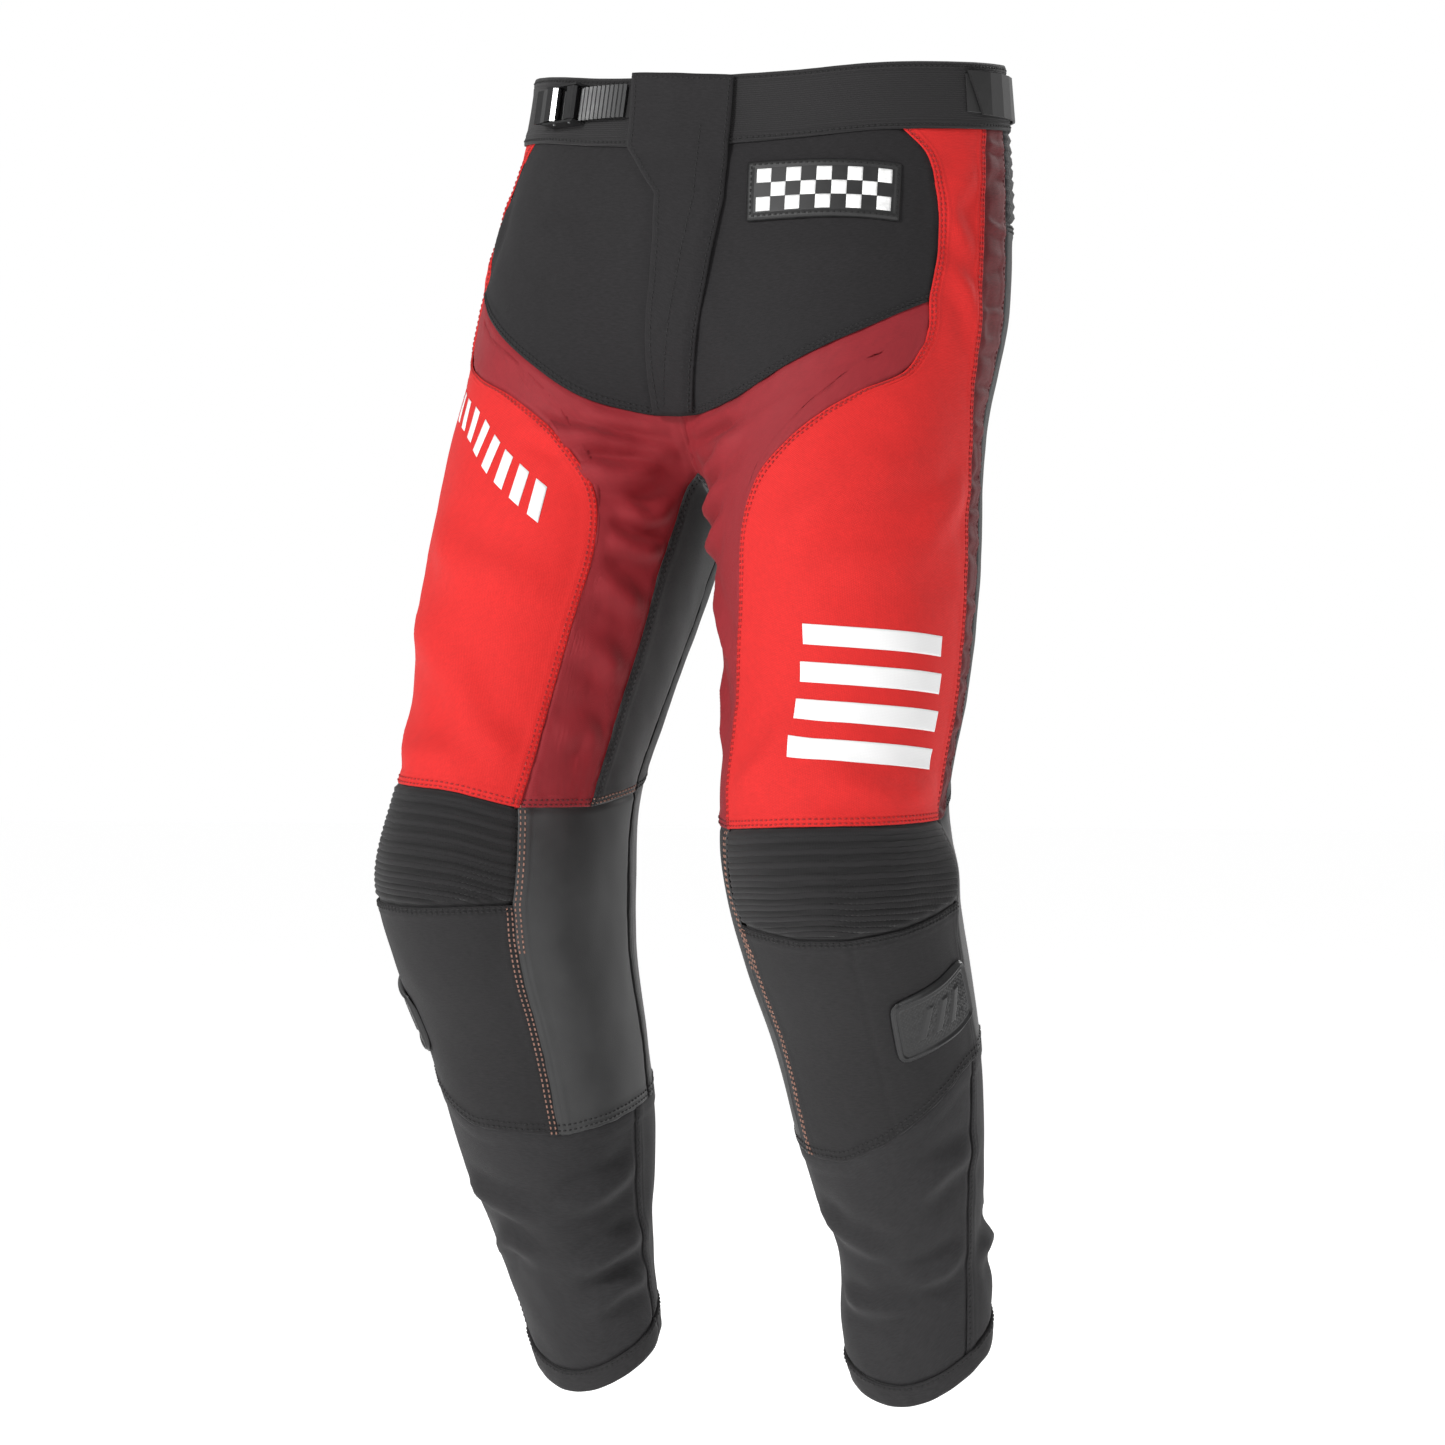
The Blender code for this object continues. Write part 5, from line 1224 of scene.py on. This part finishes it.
def lower_leg(side, shin):
    """Front and back cloth below the knee, and the folded cuff."""
    hem = KNEE_HEM[side]
    inner = -95
    outer_top = 92
    outer_low = 70

    def seam(top_angle, low_angle):
        top = line_height(hem, top_angle) + 0.006
        low = cuff_height(low_angle) + CUFF_HEIGHT
        places = [(top_angle + (low_angle - top_angle) * s, top + (low - top) * s)
                  for s in np.linspace(0, 1, 7)]
        return smooth_line([leg_point(angle, z) for angle, z in places], 60)

    def low_line(start, end):
        return smooth_line([leg_point(a, cuff_height(a) + CUFF_HEIGHT)
                            for a in np.linspace(start, end, 14)], 60)

    def hem_fold(across, down, points):
        edge = down - 0.0060
        return 0.0011 * (1 - smooth_step(edge, 0.0105, 0.0125)) * smooth_step(edge, 0.0, 0.001)

    inner_seam = seam(inner, inner)
    outer_seam = seam(outer_top, outer_low)
    for name, node, span, low, left, right in (
            ("calf_front_cloth", "calf_front", (inner, outer_top), (inner, outer_low), inner_seam,
             outer_seam),
            ("calf_back_cloth", "calf_back", (outer_top, 360 + inner), (outer_low, 360 + inner),
             outer_seam, inner_seam)):
        top = leg_line(hem, span[0], span[1], -0.006)
        patch = fill_patch(top, low_line(*low), left, right)
        made, surface = sewn_panel(side_name(name, side), patch, side, FINISHES["calf"],
                                   ("under", "under", "over" if node == "calf_back" else "under",
                                    "over" if node == "calf_back" else "under"), lift=-0.0004,
                                   own_relief=hem_fold)
        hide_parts(side_name(node, side))
        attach(made, shin)
        if node == "calf_back":
            keep_rows(shin, "thread_black", [surface.edge_row(flipped("left", side), 0.0022)])
            keep_rows(shin, "thread_black", [surface.edge_row(flipped("right", side), 0.0022)])

    angles = np.linspace(inner, inner + 360, 97)
    patch = np.empty((7, 97, 3))
    for row in range(7):
        for column, angle in enumerate(angles):
            rise = (CUFF_HEIGHT + 0.001) * (1 - row / 6)
            patch[row, column] = leg_point(angle, cuff_height(angle) + rise)
    made, surface = sewn_panel(side_name("cuff_cloth", side), patch, side, FINISHES["cuff"],
                               ("over", "free", "free", "free"), 0.0024, folds=0.5)
    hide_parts(side_name("cuff", side))
    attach(made, shin)
    keep_rows(shin, "thread_black", [surface.edge_row("top", 0.0020)])


# ---------------------------------------------------------------- waist
def waist_cloth():
    """Waistband and rear stretch yoke."""
    for name, node, start, end in (
            ("waistband_left_cloth", "waistband_front_left", 4, 100),
            ("waistband_back_cloth", "waistband_back", 100, 260),
            ("waistband_right_cloth", "waistband_front_right", -100, -4)):
        top = torso_line(BAND_TOP, start, end)
        bottom = torso_line(BAND_BOTTOM, start, end)
        left = smooth_line([top[0], bottom[0]], 12)
        right = smooth_line([top[-1], bottom[-1]], 12)
        patch = fill_patch(top, bottom, left, right)
        edges = ("over", "over", "free" if start == 4 else "over", "free" if end == -4 else "over")
        made, surface = sewn_panel(name, patch, "left", FINISHES["band"], edges, BAND_CLOTH,
                                   lift=0.0009, pucker=0.00015, folds=0.4)
        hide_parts(node)
        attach(made, "shell")
        keep_rows("shell", "thread_black", [surface.edge_row(edge, 0.0035, 0.01, 0.99)
                                            for edge in ("top", "bottom")])

    half_top = torso_line(BAND_BOTTOM, 95, 180)
    half_top[:, 2] += BAND_LAP
    half_top = onto_body(half_top)
    half_low = smooth_line([torso_point(a, REAR_YOKE) for a in np.linspace(94, 180, 9)], 80)
    top = np.vstack([half_top, half_top[-2::-1] * MIRROR])
    low = np.vstack([half_low, half_low[-2::-1] * MIRROR])
    side = smooth_line([top[0], low[0]], 20)
    patch = fill_patch(top, low, side, side * MIRROR, cell=0.0030)

    def pleats(across, down, points):
        return 0.0009 * np.sin(2 * pi * down / 0.0085) * smooth_step(down, 0.0, 0.004)

    made, surface = sewn_panel("rear_yoke_cloth", patch, "left", FINISHES["back_yoke"],
                               ("under", "under", "under", "under"), RIB_CLOTH, pleats)
    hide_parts("rear_yoke")
    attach(made, "shell")


def flap_edges(z):
    """Free and sewn edge of the fly flap at a height."""
    free = np.interp(z, (-0.256, -0.160, -0.130, -0.097, -0.085, -0.063, -0.010),
                     (-0.018, -0.012, -0.012, -0.015, -0.026, -0.044, -0.047))
    sewn = np.interp(z, (-0.256, -0.174, -0.102, -0.022), (0.015, 0.029, 0.038, 0.034))
    return free, sewn


def fly_flap():
    """The cover over the zip, sewn down along the wearer's left."""
    columns = 26
    rows = 84
    high = line_height(BAND_TOP, 0)
    points = np.empty((rows + 1, columns + 1, 3))
    for row in range(rows + 1):
        for column in range(columns + 1):
            share = column / columns
            start = high + 0.0050 - 0.0045 * share
            z = start + (FRONT_YOKE_END + 0.003 - start) * row / rows
            free, sewn = flap_edges(z)
            points[row, column] = front_point(free + (sewn - free) * share, z)
    across, down = grid_runs(points)
    normals, _ = body_normals(points)
    share = across / across[:, -1:]
    below_band = smooth_step(-points[..., 2], 0.062, 0.076)
    height = FLAP_LIFT - 0.0030 * smooth_step(share, 0.75, 1.0) * below_band
    edge = np.minimum(np.minimum(across, across[:, -1:] - across),
                      np.minimum(down, down[-1:] - down))
    over_band = smooth_step(points[..., 2], -0.072, -0.060) * (1 - smooth_step(share, 0.40, 0.75))
    height = height + 0.0022 * over_band
    height = height - 0.0005 * (1 - smooth_step(edge, 0.0, 0.0035))
    height = height + 0.0004 * waves(points, 0.030, 41)
    inner = points + normals * height[..., None]
    made = grid_object("fly_flap_cloth", inner, FINISHES["flap"], FLAP_CLOTH)
    declare_sheet(inner)
    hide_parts("fly_flap")
    surface = Surface(inner + grid_normals(inner) * FLAP_CLOTH)
    rows = [surface.edge_row(*row) for row in FLAP_ROWS]
    stitches = thread("fly_flap_thread", rows, FINISHES["thread_black"])
    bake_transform(made)
    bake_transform(stitches)


# ---------------------------------------------------------------- badges and prints
def flat_axes(middle, tilt):
    """Two directions along the cloth at a place: level turned by tilt, and square to it."""
    normal = body_normals(middle)[0]
    level = np.cross([0.0, 0.0, 1.0], normal)
    level = level / np.linalg.norm(level)
    upward = np.cross(normal, level)
    turn = radians(tilt)
    return level * cos(turn) + upward * sin(turn), -level * sin(turn) + upward * cos(turn)


def tile(middle, along, up, low, high, columns, rows):
    """A grid of body points over a rectangle of a piece laid on the cloth."""
    points = np.empty((rows + 1, columns + 1, 3))
    for row in range(rows + 1):
        for column in range(columns + 1):
            x = low[0] + (high[0] - low[0]) * column / columns
            y = high[1] + (low[1] - high[1]) * row / rows
            points[row, column] = middle + along * x + up * y
    return onto_body(points)


def rounded_frame(u, v, half_long, half_short, corner):
    """Distance inside a rectangle with round corners; negative outside."""
    long_gap = np.abs(u) - (half_long - corner)
    short_gap = np.abs(v) - (half_short - corner)
    outside = np.hypot(np.maximum(long_gap, 0), np.maximum(short_gap, 0))
    return corner - outside - np.minimum(np.maximum(long_gap, short_gap), 0)


def chequer_patch():
    """Moulded patch: a raised border round three rows of squares."""
    middle = torso_point(45.4, -0.0955)
    along, up = flat_axes(middle, 0.0)
    half_wide = PATCH_WIDTH / 2
    half_high = PATCH_HEIGHT / 2
    columns = 112
    rows = 44
    patch = tile(middle, along, up, (-half_wide, -half_high), (half_wide, half_high), columns, rows)
    x = np.linspace(-half_wide, half_wide, columns + 1)[None, :]
    y = np.linspace(half_high, -half_high, rows + 1)[:, None]
    inside = np.minimum(half_wide - np.abs(x), half_high - np.abs(y))
    border = smooth_step(inside, 0.0, 0.0012) * (1 - smooth_step(inside, 0.0030, 0.0040))
    normals, _ = body_normals(patch)
    relief = 0.0024 + 0.0006 * border - 0.0009 * (1 - smooth_step(inside, 0.0, 0.0010))
    points = patch + normals * relief[..., None]
    made = grid_object("chequer_patch_rubber", points, FINISHES["rubber"], 0.0016)
    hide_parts("chequer_patch")
    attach(made, "shell")
    for row in range(3):
        for column in range(9):
            if (row + column) % 2:
                continue
            low = ((column - 4.5) * SQUARE + SQUARE_GAP, (0.5 - row) * SQUARE + SQUARE_GAP)
            high = (low[0] + SQUARE - 2 * SQUARE_GAP, low[1] + SQUARE - 2 * SQUARE_GAP)
            cell = tile(middle, along, up, low, high, 6, 6)
            normals, _ = body_normals(cell)
            lifted = cell + normals * 0.0041
            white = grid_object(f"white_square_{row}_{column}", lifted,
                                FINISHES["rubber_white"], 0.0003)
            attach(white, "shell")
    edge = tile(middle, along, up, (-half_wide + PATCH_SEAM, -half_high + PATCH_SEAM),
                (half_wide - PATCH_SEAM, half_high - PATCH_SEAM), 40, 16)
    normals, _ = body_normals(edge)
    raised = Surface(edge + normals * 0.0046)
    keep_rows("shell", "thread_black", [raised.edge_row(name, 0.0) for name in
                                        ("top", "bottom", "left", "right")])


def knee_badge(side):
    """Moulded badge: a raised frame round a mesh field with three slanted bars."""
    middle = leg_point(64, -0.683)
    along, up = flat_axes(middle, 29)
    columns = 116
    rows = 68
    half_long = 0.0415
    half_short = 0.0265
    across = np.linspace(-1.0, 1.0, columns + 1)[None, :] + np.zeros((rows + 1, 1))
    upward = np.linspace(1.0, -1.0, rows + 1)[:, None] + np.zeros((1, columns + 1))
    u = across * half_long * (1 - 0.10 * upward**6)
    v = upward * half_short * (1 - 0.13 * across**6)
    patch = onto_body(middle + along * u[..., None] + up * v[..., None])
    corner = 0.0105
    inside = rounded_frame(u, v, half_long, half_short, corner)
    frame_in = rounded_frame(u, v, half_long - 0.0045, half_short - 0.0045, corner)
    ridge = np.exp(-((inside - 0.0042) / 0.0013)**2) * 0.0019
    ridge += np.exp(-((inside - 0.0078) / 0.0007)**2) * 0.0006
    mesh_lines = np.maximum(np.cos(2 * pi * (u + v) / 0.0034), np.cos(2 * pi * (u - v) / 0.0034))
    field = smooth_step(frame_in, 0.0040, 0.0050)
    bars = np.zeros(u.shape)
    for k in (-1, 0, 1):
        slant = np.abs(u - 0.45 * v - k * 0.0135)
        ends = 1 - smooth_step(np.abs(v), 0.0112, 0.0120)
        bars = np.maximum(bars, (1 - smooth_step(slant, 0.0026, 0.0034)) * ends)
    relief = 0.0022 + ridge + field * (0.0005 * smooth_step(mesh_lines, 0.55, 0.9)) * (1 - bars)
    relief += bars * 0.0013
    skirt = smooth_step(inside, 0.0, 0.0016)
    relief = relief * skirt + 0.0002 * (1 - skirt)
    if side == "right":
        patch = mirrored(patch)
        relief = relief[:, ::-1]
        inside = inside[:, ::-1]
    normals, _ = body_normals(patch)
    fold = cloth_relief(patch) + body_swell(patch) + CLOTH + 0.0006
    top = patch + normals * (fold + relief)[..., None]
    made = grid_object(side_name("knee_badge_rubber", side), top, FINISHES["badge"])
    cloth = made.modifiers.new("thickness", "SOLIDIFY")
    cloth.thickness = 0.0014
    cloth.offset = -1.0
    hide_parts(side_name("knee_badge", side))
    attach(made, side_name(side, "shin"))


def thigh_bars():
    """Four white printed bars on the left thigh."""
    for k in range(4):
        top = -0.4085 - 0.0266 * k
        inner = 11 - 1.3 * k
        outer = 71 + 1.8 * k
        angles = np.linspace(inner, outer, 30)
        share = (angles - inner) / (outer - inner)
        upper = np.array([leg_point(a, top - 0.0085 * s) for a, s in zip(angles, share)])
        lower = np.array([leg_point(a, top - 0.0145 - 0.0085 * s) for a, s in zip(angles, share)])
        left = smooth_line([upper[0], lower[0]], 8)
        right = smooth_line([upper[-1], lower[-1]], 8)
        patch = fill_patch(upper, lower, left, right)
        made = laid_piece(f"printed_bar_{k + 1}", patch, FINISHES["print"], PRINT_CLOTH,
                          PRINT_LIFT)
        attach(made, "shell")


def thigh_dashes():
    """A row of slanted white dashes across the right thigh."""
    path = smooth_line([leg_point(a, z) for a, z in (
        (62, -0.232), (48, -0.243), (24, -0.264), (9, -0.289), (-5, -0.310), (-15, -0.324))], 90)
    run = np.concatenate([[0], np.cumsum(np.linalg.norm(np.diff(path, axis=0), axis=1))])
    total = run[-1]
    count = 10
    for k in range(count):
        spot = total * (k + 0.5) / count
        middle = np.array([np.interp(spot, run, path[:, axis]) for axis in range(3)])
        ahead = np.array([np.interp(spot + 0.002, run, path[:, axis]) for axis in range(3)])
        along = (ahead - middle) / np.linalg.norm(ahead - middle)
        normal = body_normals(middle)[0]
        up = np.cross(normal, along)
        half = 0.0034 + 0.0002 * k
        tall = 0.0085 + 0.0004 * k
        points = np.empty((9, 5, 3))
        for row in range(9):
            for column in range(5):
                v = 1 - row / 4
                u = (column / 2 - 1) * half + 0.0060 * v
                points[row, column] = middle + along * u + up * v * tall
        patch = mirrored(onto_body(points))
        made = laid_piece(f"printed_dash_{k + 1}", patch, FINISHES["print"], PRINT_CLOTH,
                          PRINT_LIFT)
        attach(made, "shell")


# ---------------------------------------------------------------- scene
def soft_light(name, location, target, size, power):
    """A large soft lamp."""
    data = bpy.data.lights.new(name, "AREA")
    data.shape = "DISK"
    data.size = size
    data.energy = power
    lamp = bpy.data.objects.new(name, data)
    bpy.context.scene.collection.objects.link(lamp)
    lamp.location = location
    lamp.rotation_euler = (Vector(target) - Vector(location)).to_track_quat("-Z", "Y").to_euler()


def camera():
    """The viewpoint: low and level, a little round to the wearer's left."""
    data = bpy.data.cameras.new("camera")
    data.lens = LENS
    data.sensor_width = 36.0
    data.clip_end = 100.0
    made = bpy.data.objects.new("camera", data)
    bpy.context.scene.collection.objects.link(made)
    made.location = CAMERA_PLACE
    made.rotation_euler = (pi / 2, 0.0, radians(CAMERA_TURN))
    bpy.context.scene.camera = made
    bpy.context.scene.view_settings.view_transform = "Standard"


def surroundings():
    """Pale floor and soft studio light."""
    shape = bmesh.new()
    bmesh.ops.create_grid(shape, x_segments=1, y_segments=1, size=30.0)
    bmesh.ops.translate(shape, vec=(0.0, 0.0, FLOOR_HEIGHT), verts=shape.verts)
    mesh = bpy.data.meshes.new("floor")
    shape.to_mesh(mesh)
    shape.free()
    floor = bpy.data.objects.new("floor", mesh)
    bpy.context.scene.collection.objects.link(floor)
    pale = Finish("pale_floor", colour(0.93, 0.93, 0.93), 0.9)
    pale.shader.inputs["Emission Color"].default_value = colour(1.0, 1.0, 1.0)
    pale.shader.inputs["Emission Strength"].default_value = 0.62
    mesh.materials.append(pale.material)
    world = bpy.data.worlds.new("studio")
    bpy.context.scene.world = world
    world.use_nodes = True
    nodes = world.node_tree.nodes
    links = world.node_tree.links
    background = nodes["Background"]
    background.inputs["Color"].default_value = colour(1.0, 1.0, 1.0)
    seen = nodes.new("ShaderNodeLightPath")
    strength = nodes.new("ShaderNodeMapRange")
    strength.inputs["To Min"].default_value = 0.40
    strength.inputs["To Max"].default_value = 1.0
    links.new(seen.outputs["Is Camera Ray"], strength.inputs["Value"])
    links.new(strength.outputs[0], background.inputs["Strength"])
    for name, place_at, size, power in LIGHTS:
        soft_light(name, place_at, LIGHT_TARGET, size, power)


def build():
    """Make every piece."""
    for side in ("left", "right"):
        seams = side_seams(side)
        shell_panels(side, seams)
        knee_pieces(side)
        knee_badge(side)
    waist_cloth()
    fly_flap()
    chequer_patch()
    thigh_bars()
    thigh_dashes()
    for (group, finish), rows in THREADS.items():
        stitches = thread(group + "_" + finish, rows, FINISHES[finish])
        if group.startswith("knee_"):
            side = group.split("_")[1]
            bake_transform(stitches)
        else:
            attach(stitches, group)
    carry_over(("ladder_strap", "ratchet_base", "release_pawl", "zip_chain", "zip_slider",
                "zip_pull", "hip_ring"), "plastic")
    carry_over(("ratchet_lever",), "gloss")
    carry_over(("lever_pin", "pawl_pin"), "steel")
    carry_over(("strap_anchor", "hip_tab", "ring_strap"), "tab")
    carry_over(("hip_loop_strip",), "loops")
    carry_over(("zip_tape", "fly_underlap"), "tape")


build()
camera()
surroundings()
